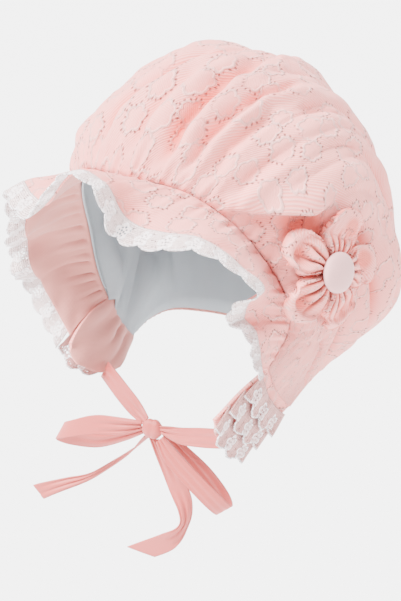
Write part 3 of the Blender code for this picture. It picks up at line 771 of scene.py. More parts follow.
def ribbon_surface(rows, x, y, end_cut=0.0):
    """A strip that follows the rows of a route. Where it narrows it is folded lengthwise."""
    route = table(RIBBON_COLUMNS, rows)
    knots = np.linspace(-1, 1, len(rows))
    across, back = bow_axes()
    up = np.array([0, 0, 1.0])
    x = x + end_cut * y * ease((x - 0.7) / 0.3)
    x = np.clip(x, -1, 1 + abs(end_cut))
    slack = np.clip(x - 1, 0, None)[:, None]
    part = {key: smooth(knots, values, x)[:, None] for key, values in route.items()}
    last = {key: values[-1] - values[-2] for key, values in route.items()}
    for key in ("across", "up", "back"):
        part[key] = part[key] + slack * last[key] * (len(rows) - 1) / 2
    place = (part["across"] * across + part["up"] * up + part["back"] * back) * RIBBON_WIDTH
    turn, tilt = np.radians(part["turn"]), np.radians(part["tilt"])
    wide = (across * np.cos(turn) + up * np.sin(turn)) * np.cos(tilt) + back * np.sin(tilt)
    spare = np.sqrt(np.clip(1 / np.clip(part["width"], 0.3, 1) ** 2 - 1, 0, None))
    ripple = np.cos(2.5 * math.pi * y[:, None] + 1.5 * x[:, None])
    fold = RIBBON_FOLD * spare * part["width"] * RIBBON_WIDTH / 2 * ripple
    place = knot_centre() + place + wide * part["width"] * y[:, None] * RIBBON_WIDTH / 2
    return place + back * fold


def tie_rows(side):
    """Route of a tie from behind the ear flap's lower edge to the knot."""
    place, outward = flap_surface(side, np.array([TIE_PLACE[side]]), np.array([0.97]))
    start = place[0] - outward[0] * (FLAP_WALL + TIE_BEHIND + GAP) - knot_centre()
    across, back = bow_axes()
    start = np.array([start @ across, start[2], start @ back]) / RIBBON_WIDTH
    end = unit(start) * 0.57
    lean = math.degrees(math.atan2(start[1], start[0])) + 90
    rows = []
    for share, width, twist, sag in TIE_ROWS[side]:
        place = start + (end - start) * share
        rows.append((place[0], place[1] - sag, place[2], lean, twist, width))
    return rows


def add_node(tree, kind, *values, **settings):
    """Adds a node with its settings and links. Its inputs are given in order, or by name in a
    dict. Each takes a value, an output of another node, or a node, which stands for the first
    of its outputs that is in use."""
    made = tree.nodes.new(kind)
    for name, value in settings.items():
        setattr(made, name, value)
    named = values and isinstance(values[0], dict)
    for name, value in (values[0] if named else dict(enumerate(values))).items():
        if isinstance(value, bpy.types.Node):
            value = next(output for output in value.outputs if output.enabled)
        if isinstance(value, bpy.types.NodeSocket):
            tree.links.new(value, made.inputs[name])
        else:
            made.inputs[name].default_value = value
    return made


def new_material(name, roughness, sheen):
    """A material whose shader has the cloth's roughness and the sheen of its loose fibres."""
    material = bpy.data.materials.new(name)
    material.use_nodes = True
    shader = material.node_tree.nodes["Principled BSDF"]
    shader.inputs["Roughness"].default_value = roughness
    shader.inputs["Sheen Weight"].default_value = sheen
    shader.inputs["Sheen Roughness"].default_value = 0.5
    return material


def dress(material, height, strength, depth, ground, layers):
    """Gives the shader its relief, and its ground colour with the layers' colours over it."""
    tree = material.node_tree
    shader = tree.nodes["Principled BSDF"]
    bump = add_node(
        tree, "ShaderNodeBump", {"Height": height, "Strength": strength, "Distance": depth}
    )
    tree.links.new(bump.outputs["Normal"], shader.inputs["Normal"])
    tone = (*ground, 1)
    for share, colour in layers:
        tone = add_node(
            tree, "ShaderNodeMix",
            {0: share, FIRST_COLOUR: tone, SECOND_COLOUR: (*colour, 1)},
            data_type="RGBA",
        )
    tree.links.new(tone.outputs[2], shader.inputs["Base Color"])
    return material


def add_object(name, mesh, *materials):
    """A piece at the origin that rides with the bonnet."""
    obj = bpy.data.objects.new(name, mesh)
    mesh.materials.clear()
    for material in materials:
        mesh.materials.append(material)
    bpy.context.scene.collection.objects.link(obj)
    return obj


def read_places(mesh):
    """The mesh's points, one row for each."""
    places = np.empty(len(mesh.vertices) * 3, np.float32)
    mesh.vertices.foreach_get("co", places)
    return places.reshape(-1, 3)


def set_flat(mesh, flat):
    """A UV map in metres of flat cloth, from each point's place in it."""
    layer = mesh.uv_layers.new(name="cloth")
    corner = np.empty(len(mesh.loops), np.int32)
    mesh.loops.foreach_get("vertex_index", corner)
    layer.data.foreach_set("uv", flat[corner].astype(np.float32).ravel())


def set_painted_shade(mesh, hollow):
    """How much painted shade each point gets, from 0 to 1, from how deep in a fold it lies; the
    materials darken the cloth's colour by it.
    """
    layer = mesh.attributes.new("hollow", "FLOAT", "POINT")
    layer.data.foreach_set("value", np.clip(hollow, 0, 1).astype(np.float32))


def give_wall(obj, wall, offset):
    """Gives a sheet its thickness. Its second material, where it has one, is its inside."""
    solid = obj.modifiers.new("wall", "SOLIDIFY")
    solid.thickness = wall
    solid.offset = offset
    solid.material_offset = len(obj.data.materials) - 1
    solid.material_offset_rim = 0
    return obj


def grid_mesh(name, columns, rows, half):
    """A flat square grid about the origin that reaches half its width to each side."""
    bm = bmesh.new()
    bmesh.ops.create_grid(bm, x_segments=columns, y_segments=rows, size=half)
    mesh = bpy.data.meshes.new(name)
    bm.to_mesh(mesh)
    bm.free()
    return mesh


def lay_cloth(name, surface, grid, wall, materials, offset=-1.0, hollow=None):
    """A fine grid laid over a surface and given a wall. surface takes x and y from -1 to 1."""
    columns, rows = grid
    mesh = grid_mesh(name, columns, rows, 1)
    flat = read_places(mesh)[:, :2].astype(float)
    places = surface(flat[:, 0], flat[:, 1]) + HEAD_CENTRE
    mesh.vertices.foreach_set("co", places.astype(np.float32).ravel())
    i = np.rint((flat[:, 0] + 1) / 2 * columns).astype(int)
    j = np.rint((flat[:, 1] + 1) / 2 * rows).astype(int)
    laid = np.empty((columns + 1, rows + 1, 3))
    laid[i, j] = places
    lengths = []
    for axis in (0, 1):
        steps = np.linalg.norm(np.diff(laid, axis=axis), axis=2).mean(1 - axis)
        lengths.append(np.concatenate([[0], np.cumsum(steps)]))
    across, down = lengths
    set_flat(mesh, np.stack([across[i], down[j]], -1))
    # hollow, where given, is the painted shade each point gets in folds and hollows.
    if hollow:
        set_painted_shade(mesh, hollow(flat[:, 0], flat[:, 1]))
    mesh.shade_smooth()
    print(f"{name}: {across[-1]:.3f} by {down[-1]:.3f} m flat")
    return give_wall(add_object(name, mesh, *materials), wall, offset)


def declare(obj, nodes):
    """Attaches a piece to the bonnet and hides the parts it stands for."""
    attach(obj, "root")
    if nodes:
        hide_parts(*nodes)
    return obj


def plain_mesh(obj):
    """The object's evaluated mesh, with its modifiers worked in and removed."""
    graph = bpy.context.evaluated_depsgraph_get()
    mesh = bpy.data.meshes.new_from_object(obj.evaluated_get(graph))
    bpy.data.objects.remove(obj)
    return mesh


def set_inputs(modifier, tree, values):
    """Sets a Geometry Nodes modifier's inputs by their sockets' identifiers."""
    for item in tree.interface.items_tree:
        if item.item_type == "SOCKET" and item.in_out == "INPUT" and item.name in values:
            modifier[item.identifier] = values[item.name]


def cotton_weave(tree, uv, thread):
    """Over and under threads of a plain weave as a height, with slubs."""
    place = add_node(tree, "ShaderNodeSeparateXYZ", uv).outputs
    threads = []
    for way in (place["X"], place["Y"]):
        turns = add_node(tree, "ShaderNodeMath", way, math.tau / thread, operation="MULTIPLY")
        threads.append(add_node(tree, "ShaderNodeMath", turns, operation="SINE"))
    crossed = add_node(tree, "ShaderNodeMath", threads[0], threads[1], operation="MULTIPLY")
    slub = add_node(
        tree, "ShaderNodeTexNoise", {"Vector": uv, "Scale": 0.35 / thread, "Detail": 3.0}
    )
    return add_node(tree, "ShaderNodeMath", slub, 2.0, crossed, operation="MULTIPLY_ADD")


def jacquard_material(name, cloth):
    """Cotton jacquard, machine woven: matt, with raised lobed outlines on a ribbed ground
    and small openings along them. The ribs are drawn 1.2 mm apart and the threads 0.8 mm,
    coarser than the real cloth's 0.8 mm and 0.3 mm, which would be too fine to see."""
    material = new_material(name, 0.82, 0.15)
    tree = material.node_tree
    motif = cloth.motif_size
    pitch = math.tau / cloth.rib_spacing
    uv = add_node(tree, "ShaderNodeUVMap", uv_map="cloth")

    # The motifs stand about the middles of bent cells.
    bend = add_node(
        tree, "ShaderNodeTexNoise", {"Vector": uv, "Scale": 1.3 / motif, "Detail": 1.0}
    ).outputs["Color"]
    bend = add_node(
        tree, "ShaderNodeVectorMath", {0: bend, "Scale": 0.22 * motif}, operation="SCALE"
    )
    bent = add_node(tree, "ShaderNodeVectorMath", uv, bend, operation="ADD")
    cells = add_node(
        tree, "ShaderNodeTexVoronoi",
        {"Vector": bent, "Scale": 1 / motif, "Randomness": 0.72},
        voronoi_dimensions="2D",
    ).outputs
    chance = add_node(tree, "ShaderNodeSeparateColor", cells["Color"]).outputs
    away = add_node(tree, "ShaderNodeVectorMath", bent, cells["Position"], operation="SUBTRACT")
    reach = add_node(tree, "ShaderNodeVectorMath", away, operation="LENGTH")
    part = add_node(tree, "ShaderNodeSeparateXYZ", away).outputs
    angle = add_node(tree, "ShaderNodeMath", part["Y"], part["X"], operation="ARCTAN2")

    # Their lobed outlines, which some patches of the cloth go without.
    phase = add_node(tree, "ShaderNodeMath", chance[0], math.tau, operation="MULTIPLY")
    lobes = add_node(tree, "ShaderNodeMath", angle, 3.0, phase, operation="MULTIPLY_ADD")
    lobes = add_node(tree, "ShaderNodeMath", lobes, operation="SINE")
    lobes = add_node(tree, "ShaderNodeMath", lobes, operation="ABSOLUTE")
    size = add_node(
        tree, "ShaderNodeMath", chance[1], 0.10 * motif, 0.27 * motif, operation="MULTIPLY_ADD"
    )
    rim = add_node(tree, "ShaderNodeMath", lobes, 0.075 * motif, size, operation="MULTIPLY_ADD")
    off = add_node(tree, "ShaderNodeMath", reach, rim, operation="SUBTRACT")
    gap = add_node(tree, "ShaderNodeMath", off, operation="ABSOLUTE")
    outline = add_node(
        tree, "ShaderNodeMapRange",
        {"Value": gap, "From Min": 0.00030, "From Max": 0.00100, **FALLING},
        interpolation_type="SMOOTHSTEP",
    )
    patch = add_node(
        tree, "ShaderNodeTexNoise", {"Vector": uv, "Scale": 0.9 / motif, "Detail": 2.0}
    )
    patch = add_node(
        tree, "ShaderNodeMapRange", {"Value": patch, "From Min": 0.32, "From Max": 0.42}
    )
    outline = add_node(tree, "ShaderNodeMath", outline, patch, operation="MULTIPLY")

    # The ribs turn another way within each motif, and lie closer there.
    within = add_node(
        tree, "ShaderNodeMapRange",
        {"Value": off, "From Min": -0.0003, "From Max": 0.0003, **FALLING},
    )
    turn = add_node(tree, "ShaderNodeMath", chance[2], 1.4, 0.7, operation="MULTIPLY_ADD")
    turn = add_node(tree, "ShaderNodeMath", within, turn, operation="MULTIPLY")
    turn = add_node(tree, "ShaderNodeMath", turn, 0.65, operation="ADD")
    ribs = add_node(
        tree, "ShaderNodeVectorRotate", {"Vector": uv, "Angle": turn}, rotation_type="Z_AXIS"
    )
    ribs = add_node(tree, "ShaderNodeSeparateXYZ", ribs).outputs["X"]
    closer = add_node(tree, "ShaderNodeMath", within, 0.5 * pitch, pitch, operation="MULTIPLY_ADD")
    ribs = add_node(tree, "ShaderNodeMath", ribs, closer, operation="MULTIPLY")
    ribs = add_node(tree, "ShaderNodeMath", ribs, operation="SINE")
    flatter = add_node(tree, "ShaderNodeMath", within, -0.5, 1.0, operation="MULTIPLY_ADD")
    ribs = add_node(tree, "ShaderNodeMath", ribs, flatter, operation="MULTIPLY")

    # Small openings beside the outlines, in places.
    dots = add_node(tree, "ShaderNodeMath", angle, 18.0, operation="MULTIPLY")
    dots = add_node(tree, "ShaderNodeMath", dots, operation="SINE")
    dots = add_node(tree, "ShaderNodeMapRange", {"Value": dots, "From Min": 0.1, "From Max": 0.7})
    side = add_node(tree, "ShaderNodeMath", off, 0.0010, operation="SUBTRACT")
    side = add_node(tree, "ShaderNodeMath", side, operation="ABSOLUTE")
    side = add_node(
        tree, "ShaderNodeMapRange",
        {"Value": side, "From Min": 0.0003, "From Max": 0.0008, **FALLING},
    )
    where = add_node(
        tree, "ShaderNodeTexNoise", {"Vector": uv, "Scale": 1.6 / motif, "Detail": 1.0}
    )
    where = add_node(
        tree, "ShaderNodeMapRange", {"Value": where, "From Min": 0.45, "From Max": 0.51}
    )
    holes = add_node(tree, "ShaderNodeMath", dots, side, operation="MULTIPLY")
    holes = add_node(tree, "ShaderNodeMath", holes, where, operation="MULTIPLY")

    height = outline
    for raised, weight in ((ribs, 0.16), (cotton_weave(tree, uv, 0.0008), 0.08), (holes, -1.0)):
        height = add_node(tree, "ShaderNodeMath", raised, weight, height, operation="MULTIPLY_ADD")

    # Painted highlight on the rib crests and the raised outlines, painted shade from the hollow
    # attribute in the folds, and the darkest painted shade in the small openings.
    painted_rib_highlight = add_node(
        tree, "ShaderNodeMapRange",
        {"Value": ribs, "From Min": -1.0, "From Max": 1.0, "To Max": 0.6},
    )
    drawn = add_node(tree, "ShaderNodeMath", outline, 0.9, operation="MULTIPLY")
    fold = add_node(tree, "ShaderNodeAttribute", attribute_name="hollow").outputs["Fac"]
    painted_fold_shade = add_node(tree, "ShaderNodeMapRange", {"Value": fold, "From Max": 0.6, "To Max": 0.8})
    depth = add_node(tree, "ShaderNodeMapRange", {"Value": fold, "From Min": 0.6, "To Max": 0.9})
    open_here = add_node(tree, "ShaderNodeMath", holes, 0.85, operation="MULTIPLY")
    depth = add_node(tree, "ShaderNodeMath", depth, open_here, operation="MAXIMUM")
    return dress(material, height, 0.8, 0.0008, cloth.colour, (
        (painted_rib_highlight, cloth.painted_highlight_tone),
        (drawn, cloth.painted_highlight_tone),
        (painted_fold_shade, cloth.painted_fold_shade_tone),
        (depth, cloth.painted_deep_shade_tone),
    ))


def plain_cotton(name, colour, thread, roughness, sheen, depth):
    """Plain woven cotton: matt, with a fine weave and a few slubs. The threads are drawn
    coarser than real ones, which would be too fine to see."""
    material = new_material(name, roughness, sheen)
    tree = material.node_tree
    uv = add_node(tree, "ShaderNodeUVMap", uv_map="cloth")
    weave = cotton_weave(tree, uv, thread)
    mottle = add_node(tree, "ShaderNodeTexNoise", {"Vector": uv, "Scale": 90.0, "Detail": 4.0})
    darker = tuple(c * 0.88 for c in colour)
    return dress(material, weave, 0.35, depth, darker, ((mottle, colour),))


def lace_material(name, lace, pitch, height_m, net_colour):
    """Machine-made cotton lace: matt and nearly white, a fine net with dense flowers that have raised
    outlines. The net's openings are drawn 1.1 mm apart so that they show, and are painted dark as
    painted shade."""
    material = new_material(name, 0.85, 0.2)
    tree = material.node_tree
    uv = add_node(tree, "ShaderNodeUVMap", uv_map="cloth")
    place = add_node(tree, "ShaderNodeSeparateXYZ", uv).outputs
    repeat = add_node(tree, "ShaderNodeMath", place["X"], pitch, operation="DIVIDE")
    repeat = add_node(tree, "ShaderNodeMath", repeat, operation="FRACT")

    # One flower in the middle of each repeat, with lobed petals round a small heart.
    aside = add_node(tree, "ShaderNodeMath", repeat, 0.5, operation="SUBTRACT")
    aside = add_node(tree, "ShaderNodeMath", aside, pitch, operation="MULTIPLY")
    above = add_node(tree, "ShaderNodeMath", place["Y"], 0.52 * height_m, operation="SUBTRACT")
    away = add_node(tree, "ShaderNodeCombineXYZ", aside, above)
    reach = add_node(tree, "ShaderNodeVectorMath", away, operation="LENGTH")
    angle = add_node(tree, "ShaderNodeMath", above, aside, operation="ARCTAN2")
    lobes = add_node(tree, "ShaderNodeMath", angle, 2.5, operation="MULTIPLY")
    lobes = add_node(tree, "ShaderNodeMath", lobes, operation="SINE")
    lobes = add_node(tree, "ShaderNodeMath", lobes, operation="ABSOLUTE")
    rim = add_node(tree, "ShaderNodeMath", lobes, 0.0022, 0.0032, operation="MULTIPLY_ADD")
    off = add_node(tree, "ShaderNodeMath", reach, rim, operation="SUBTRACT")
    outline = add_node(tree, "ShaderNodeMath", off, operation="ABSOLUTE")
    outline = add_node(
        tree, "ShaderNodeMapRange",
        {"Value": outline, "From Min": 0.0002, "From Max": 0.0007, **FALLING},
    )
    heart = add_node(tree, "ShaderNodeMath", reach, 0.0012, operation="SUBTRACT")
    heart = add_node(tree, "ShaderNodeMath", heart, operation="ABSOLUTE")
    heart = add_node(
        tree, "ShaderNodeMapRange",
        {"Value": heart, "From Min": 0.0001, "From Max": 0.0004, **FALLING},
    )
    heart = add_node(tree, "ShaderNodeMath", heart, 0.5, operation="MULTIPLY")
    outline = add_node(tree, "ShaderNodeMath", outline, heart, operation="MAXIMUM")

    # A dense cord along the scalloped edge.
    deep = SCALLOP_DEPTH / LACE_SHARE
    bow = add_node(tree, "ShaderNodeMath", repeat, math.pi, operation="MULTIPLY")
    bow = add_node(tree, "ShaderNodeMath", bow, operation="COSINE")
    bow = add_node(tree, "ShaderNodeMath", bow, operation="ABSOLUTE")
    edge = add_node(tree, "ShaderNodeMath", bow, deep, 1 - deep, operation="MULTIPLY_ADD")
    edge = add_node(tree, "ShaderNodeMath", edge, height_m, operation="MULTIPLY")
    edge = add_node(tree, "ShaderNodeMath", edge, place["Y"], operation="SUBTRACT")
    cord = add_node(
        tree, "ShaderNodeMapRange",
        {"Value": edge, "From Min": 0.0007, "From Max": 0.0014, **FALLING},
    )
    outline = add_node(tree, "ShaderNodeMath", outline, cord, operation="MAXIMUM")

    # The net round the flower, with painted shade in its openings.
    ground = add_node(
        tree, "ShaderNodeMapRange", {"Value": off, "From Min": 0.0001, "From Max": 0.0005}
    )
    net = add_node(
        tree, "ShaderNodeTexVoronoi",
        {"Vector": uv, "Scale": 1 / lace.net_spacing, "Randomness": 0.35},
        voronoi_dimensions="2D",
    )
    pin = add_node(
        tree, "ShaderNodeMapRange", {"Value": net, "From Min": 0.20, "From Max": 0.42, **FALLING}
    )
    pin = add_node(tree, "ShaderNodeMath", pin, ground, operation="MULTIPLY")
    height = add_node(tree, "ShaderNodeMath", pin, -0.8, outline, operation="MULTIPLY_ADD")
    open_net = add_node(tree, "ShaderNodeMath", ground, outline, operation="SUBTRACT")
    shade = add_node(tree, "ShaderNodeMath", pin, 0.9, operation="MULTIPLY")
    dense = tuple(0.45 * a + 0.55 * b for a, b in zip(lace.colour, net_colour))
    return dress(material, height, 0.7, 0.0004, dense, (
        (open_net, net_colour),
        (outline, lace.colour),
        (shade, lace.painted_net_shade_colour),
    ))


def ribbon_material(name, trim):
    """Cotton satin ribbon: smooth, with fine ribs across it and a soft shine."""
    material = new_material(name, 0.5, 0.15)
    tree = material.node_tree
    uv = add_node(tree, "ShaderNodeUVMap", uv_map="cloth")
    ribs = add_node(tree, "ShaderNodeSeparateXYZ", uv).outputs["X"]
    ribs = add_node(tree, "ShaderNodeMath", ribs, math.tau / trim.rib_spacing, operation="MULTIPLY")
    ribs = add_node(tree, "ShaderNodeMath", ribs, operation="SINE")
    slub = add_node(tree, "ShaderNodeTexNoise", {"Vector": uv, "Scale": 420.0, "Detail": 3.0})
    height = add_node(tree, "ShaderNodeMath", slub, 1.5, ribs, operation="MULTIPLY_ADD")
    wash = add_node(tree, "ShaderNodeTexNoise", {"Vector": uv, "Scale": 60.0, "Detail": 2.0})
    pale = tuple(min(1.0, c * 1.12) for c in trim.ribbon_colour)
    return dress(material, height, 0.25, 0.0002, trim.ribbon_colour, ((wash, pale),))


def shared_materials(scene):
    """The finishes that the pieces share, each made on its first use. A plain cotton's numbers
    are its thread spacing, roughness, sheen and depth of weave."""
    cloth, lace, trim = scene.bonnet_cloth, scene.bonnet_lace, scene.bonnet_trim
    thread = scene.bonnet_stitches.thread_colour
    scallop, frill = LACE_CUT[0] / SCALLOP_COUNT, TIER_CUT[0] / TIER_REPEATS
    finishes = {
        "jacquard": ("Cotton jacquard", jacquard_material, cloth),
        "facing": ("Cotton facing", plain_cotton, cloth.facing_colour_with_painted_shade, 0.0010, 0.8, 0.25, 0.0002),
        "lining": ("Cotton lining", plain_cotton, cloth.lining_colour_with_painted_shade, 0.0010, 0.85, 0.15, 0.0002),
        "lace": ("Cotton lace", lace_material, lace, scallop, LACE_CUT[1], lace.net_colour),
        "frill": ("Cotton lace frill", lace_material, lace, frill, TIER_CUT[1], lace.frill_colour),
        "ribbon": ("Cotton satin ribbon", ribbon_material, trim),
        "button": ("Covered button", plain_cotton, trim.button_colour, 0.0009, 0.75, 0.25, 0.0003),
        "thread": ("Sewing thread", plain_cotton, thread, 0.0006, 0.6, 0.2, 0.0001),
    }
    return {
        key: bpy.data.materials.get(name) or make(name, *given)
        for key, (name, make, *given) in finishes.items()
    }


def make_crown(scene):
    """The crown's jacquard, with plain cloth inside."""
    cloth = scene.bonnet_cloth
    skin = shared_materials(scene)

    def surface(x, y):
        return crown_surface(x, (y + 1) / 2, cloth.pucker_height, cloth.wrinkle_height)

    # The crown gets painted shade in its creases and under its overhanging fold.
    crown = lay_cloth(
        "crown_cloth", surface, CROWN_GRID, CROWN_WALL, (skin["jacquard"], skin["facing"]),
        hollow=lambda x, y: crown_painted_shade(x, (y + 1) / 2),
    )
    declare(crown, ["crown"])


def make_lining(scene):
    """The lining, from a little in front of the face seam to the nape."""

    def surface(x, y):
        return lining_surface(x, (y + 1) / 2 * (1 + LINING_LIP) - LINING_LIP)

    skin = shared_materials(scene)
    lining = lay_cloth("lining_cloth", surface, LINING_GRID, LINING_WALL, (skin["lining"],))
    declare(lining, ["lining"])


def make_brim(scene):
    """The brim's jacquard up to the lace, with plain cloth inside."""

    def share(y):
        return (1 - y) / 2 * (1 + SEAM_TUCK - LACE_SHARE) - SEAM_TUCK

    # Painted shade: darker where the brim's waves dip and close to its seam.
    def hollow(x, y):
        low = 0.45 * ease(-brim_detail(x, share(y))[2] / 0.0024)
        return low + 0.10 * np.exp(-np.abs(share(y)) / 0.07)

    skin = shared_materials(scene)
    brim = lay_cloth(
        "brim_cloth", lambda x, y: brim_detail(x, share(y))[0], BRIM_GRID, BRIM_WALL,
        (skin["jacquard"], skin["facing"]), hollow=hollow,
    )
    declare(brim, ["brim"])


def lace_profile(along):
    """The lace's free edge over one repeat, as a share of the band: a scallop with picots."""
    scallop = np.abs(np.sin(math.pi * along))
    picots = PICOT_DEPTH * np.abs(np.sin(5 * math.pi * along))
    return 1 - SCALLOP_DEPTH / LACE_SHARE * (1 - scallop) + picots - PICOT_DEPTH


def lace_repeat(pitch, height, eyelet_scale):
    """One repeat of the lace as a flat mesh with its eyelets left open."""
    sides = [9 * step / 100 for step in range(1, 11)]
    bottom = [(s, 0.0) for s in np.linspace(-0.5, 0.5, 13)]
    right = [(0.5, w) for w in sides]
    top = [(s, float(lace_profile(s))) for s in np.linspace(0.5, -0.5, 41)]
    left = [(-0.5, w) for w in reversed(sides)]
    outline = bottom + right + top + left
    points = [Vector((s * pitch, w * height)) for s, w in outline]
    edges = [(i, (i + 1) % len(points)) for i in range(len(points))]
    corners = 8
    holes = [(s * pitch, w * height, d * eyelet_scale / 2000) for s, w, d in EYELETS]
    for x, y, radius in holes:
        first = len(points)
        for k in range(corners):
            angle = math.tau * (k + 0.5) / corners
            points.append(Vector((x + radius * math.cos(angle), y + radius * math.sin(angle))))
        edges += [(first + k, first + (k + 1) % corners) for k in range(corners)]
    step = 0.0013
    for x in np.arange(-pitch / 2 + step, pitch / 2 - step / 2, step):
        for y in np.arange(step, height, step):
            room = min(math.hypot(x - a, y - b) - r for a, b, r in holes)
            if room > 0.6 * step and y < (lace_profile(x / pitch) - 0.05) * height:
                points.append(Vector((x, y)))
    verts, _, faces, *_ = delaunay_2d_cdt(points, edges, [], 0, 1e-7)
    kept = []
    for face in faces:
        x, y = sum((verts[i] for i in face), Vector((0, 0))) / len(face)
        inside = y < lace_profile(x / pitch) * height
        open_here = any(math.hypot(x - a, y - b) < 0.92 * r for a, b, r in holes)
        if inside and not open_here:
            kept.append(face)
    mesh = bpy.data.meshes.new("lace_repeat")
    mesh.from_pydata([(v.x, v.y, 0) for v in verts], [], kept)
    return mesh


def new_tree(name, inputs):
    """An empty Geometry Nodes tree with its named inputs, and their sockets."""
    tree = bpy.data.node_groups.new(name, "GeometryNodeTree")
    for label, kind in (("Geometry", "Geometry"), *inputs, ("Material", "Material")):
        tree.interface.new_socket(label, in_out="INPUT", socket_type="NodeSocket" + kind)
    tree.interface.new_socket("Geometry", in_out="OUTPUT", socket_type="NodeSocketGeometry")
    return tree, add_node(tree, "NodeGroupInput").outputs


def end_tree(tree, geometry, material):
    """The tree's end, which gives the real pieces their material."""
    coloured = add_node(
        tree, "GeometryNodeSetMaterial", {"Geometry": geometry, "Material": material}
    )
    add_node(tree, "NodeGroupOutput", {"Geometry": coloured})
    return tree


def repeat_tree():
    """Geometry Nodes that lay a piece side by side and join its edges."""
    tree = bpy.data.node_groups.get("Side by side")
    if tree:
        return tree
    tree, given = new_tree("Side by side", (("Repeats", "Int"), ("Pitch", "Float")))
    step = add_node(tree, "ShaderNodeCombineXYZ", {"X": given["Pitch"]})
    row = add_node(
        tree, "GeometryNodeMeshLine", {"Count": given["Repeats"], "Offset": step}, mode="OFFSET"
    )
    laid = add_node(
        tree, "GeometryNodeInstanceOnPoints", {"Points": row, "Instance": given["Geometry"]}
    )
    real = add_node(tree, "GeometryNodeRealizeInstances", {"Geometry": laid})
    joined = add_node(tree, "GeometryNodeMergeByDistance", {"Geometry": real, "Distance": 2e-5})
    return end_tree(tree, joined, given["Material"])


def lay_lace(name, surface, repeats, length, height, eyelet_scale, wall, material):
    """A band of lace: its repeats side by side, mapped on to a surface of along and across
    from 0 to 1, and given a wall."""
    pitch = length / repeats
    strip = add_object(name + "_strip", lace_repeat(pitch, height, eyelet_scale), material)
    row = strip.modifiers.new("repeats", "NODES")
    row.node_group = repeat_tree()
    set_inputs(row, row.node_group, {"Repeats": repeats, "Pitch": pitch, "Material": material})
    mesh = plain_mesh(strip)
    mesh.name = name
    flat = read_places(mesh)[:, :2].astype(float)
    along = np.clip((flat[:, 0] + pitch / 2) / length, 0, 1)
    across = flat[:, 1] / height
    places = surface(along, across) + HEAD_CENTRE
    mesh.vertices.foreach_set("co", places.astype(np.float32).ravel())
    set_flat(mesh, np.stack([along * length, across * height], -1))
    mesh.shade_smooth()
    return give_wall(add_object(name, mesh, material), wall, 0.0)


def make_brim_lace(scene):
    """The lace band, from where it laps over the brim's cloth to its scalloped edge."""
    skin = shared_materials(scene)
    start = 1 - LACE_SHARE - LACE_LAP

    def surface(along, across):
        u = LACE_FROM + along * (1 - LACE_FROM)
        place, normal, _ = brim_detail(u, start + (1 - start) * across)
        return place + normal * (0.0004 * waves(90 * u, 3 * across, 71) * across)[:, None]

    band = lay_lace(
        "brim_lace_band", surface, SCALLOP_COUNT, LACE_CUT[0], LACE_CUT[1],
        scene.bonnet_lace.eyelet_scale, LACE_WALL, skin["lace"],
    )
    declare(band, ["brim_lace"])


def make_flaps(scene):
    """The flaps and their tiers. Going across runs the other way round on the right."""
    skin = shared_materials(scene)
    for side, sign in (("left", 1), ("right", -1)):
        flap_node = "ear_flap_" + side
        flap = lay_cloth(
            "ear_flap_cloth_" + side, lambda x, y: flap_detail(side, sign * x, (1 - y) / 2),
            FLAP_GRID, FLAP_WALL, (skin["jacquard"], skin["facing"]),
        )
        declare(flap, [flap_node])
        for level in range(TIER_COUNT):
            node = f"flap_lace_{side}_{level + 1}"
            tier = lay_lace(
                f"flap_lace_frill_{side}_{level + 1}",
                lambda along, across: tier_surface(side, level, sign * (along * 2 - 1), across),
                TIER_REPEATS, TIER_CUT[0], TIER_CUT[1],
                scene.bonnet_lace.eyelet_scale, LACE_WALL, skin["frill"],
            )
            declare(tier, [node])


def make_flower(scene):
    """The five petals, each pushed up off the crown wherever it would meet it."""
    pleat_depth = scene.bonnet_trim.pleat_depth
    skin = shared_materials(scene)
    centre, right, up, facing = flower_frame()
    knots = np.linspace(-1, 1, 11)
    steps = len(knots) - 1

    def flat_place(number, turn, x, y):
        radius, angle, height, _ = petal_shape(number, -x, (y + 1) / 2, pleat_depth)
        return np.stack([np.cos(angle + turn), np.sin(angle + turn)], -1) * radius[:, None], height

    def petal_at(number, turn):
        column, row = np.meshgrid(knots, knots, indexing="ij")
        flat, _ = flat_place(number, turn, column.ravel(), row.ravel())
        under = crown_under(centre, right, up, facing, flat, PETAL_SPREAD)
        under = np.maximum(under, under[np.isfinite(under)].min()).reshape(column.shape)

        def petal(x, y):
            flat, height = flat_place(number, turn, x, y)
            i = np.clip(np.searchsorted(knots, x, side="right") - 1, 0, steps - 1)
            j = np.clip(np.searchsorted(knots, y, side="right") - 1, 0, steps - 1)
            a, b = ease((x - knots[i]) * steps / 2), ease((y - knots[j]) * steps / 2)
            low = (under[i, j] * (1 - a) + under[i + 1, j] * a) * (1 - b)
            low = low + (under[i, j + 1] * (1 - a) + under[i + 1, j + 1] * a) * b
            lift = PETAL_LIFT * ease((y + 0.2) / 0.9)
            height = np.maximum(height, low + PETAL_WALL + GAP + lift)
            return centre + flat[:, :1] * right + flat[:, 1:] * up + height[:, None] * facing

        return petal

    for number in range(PETAL_COUNT):
        turn = FIRST_PETAL + number * math.tau / PETAL_COUNT
        # Each petal gets painted shade in its pleats and hollow and along its sides and outer end.
        petal = lay_cloth(
            f"flower_petal_{number + 1}", petal_at(number, turn), PETAL_GRID, PETAL_WALL,
            (skin["jacquard"],),
            hollow=lambda x, y: petal_shape(number, -x, (y + 1) / 2, pleat_depth)[3],
        )
        declare(petal, [f"petal_{number + 1}"])


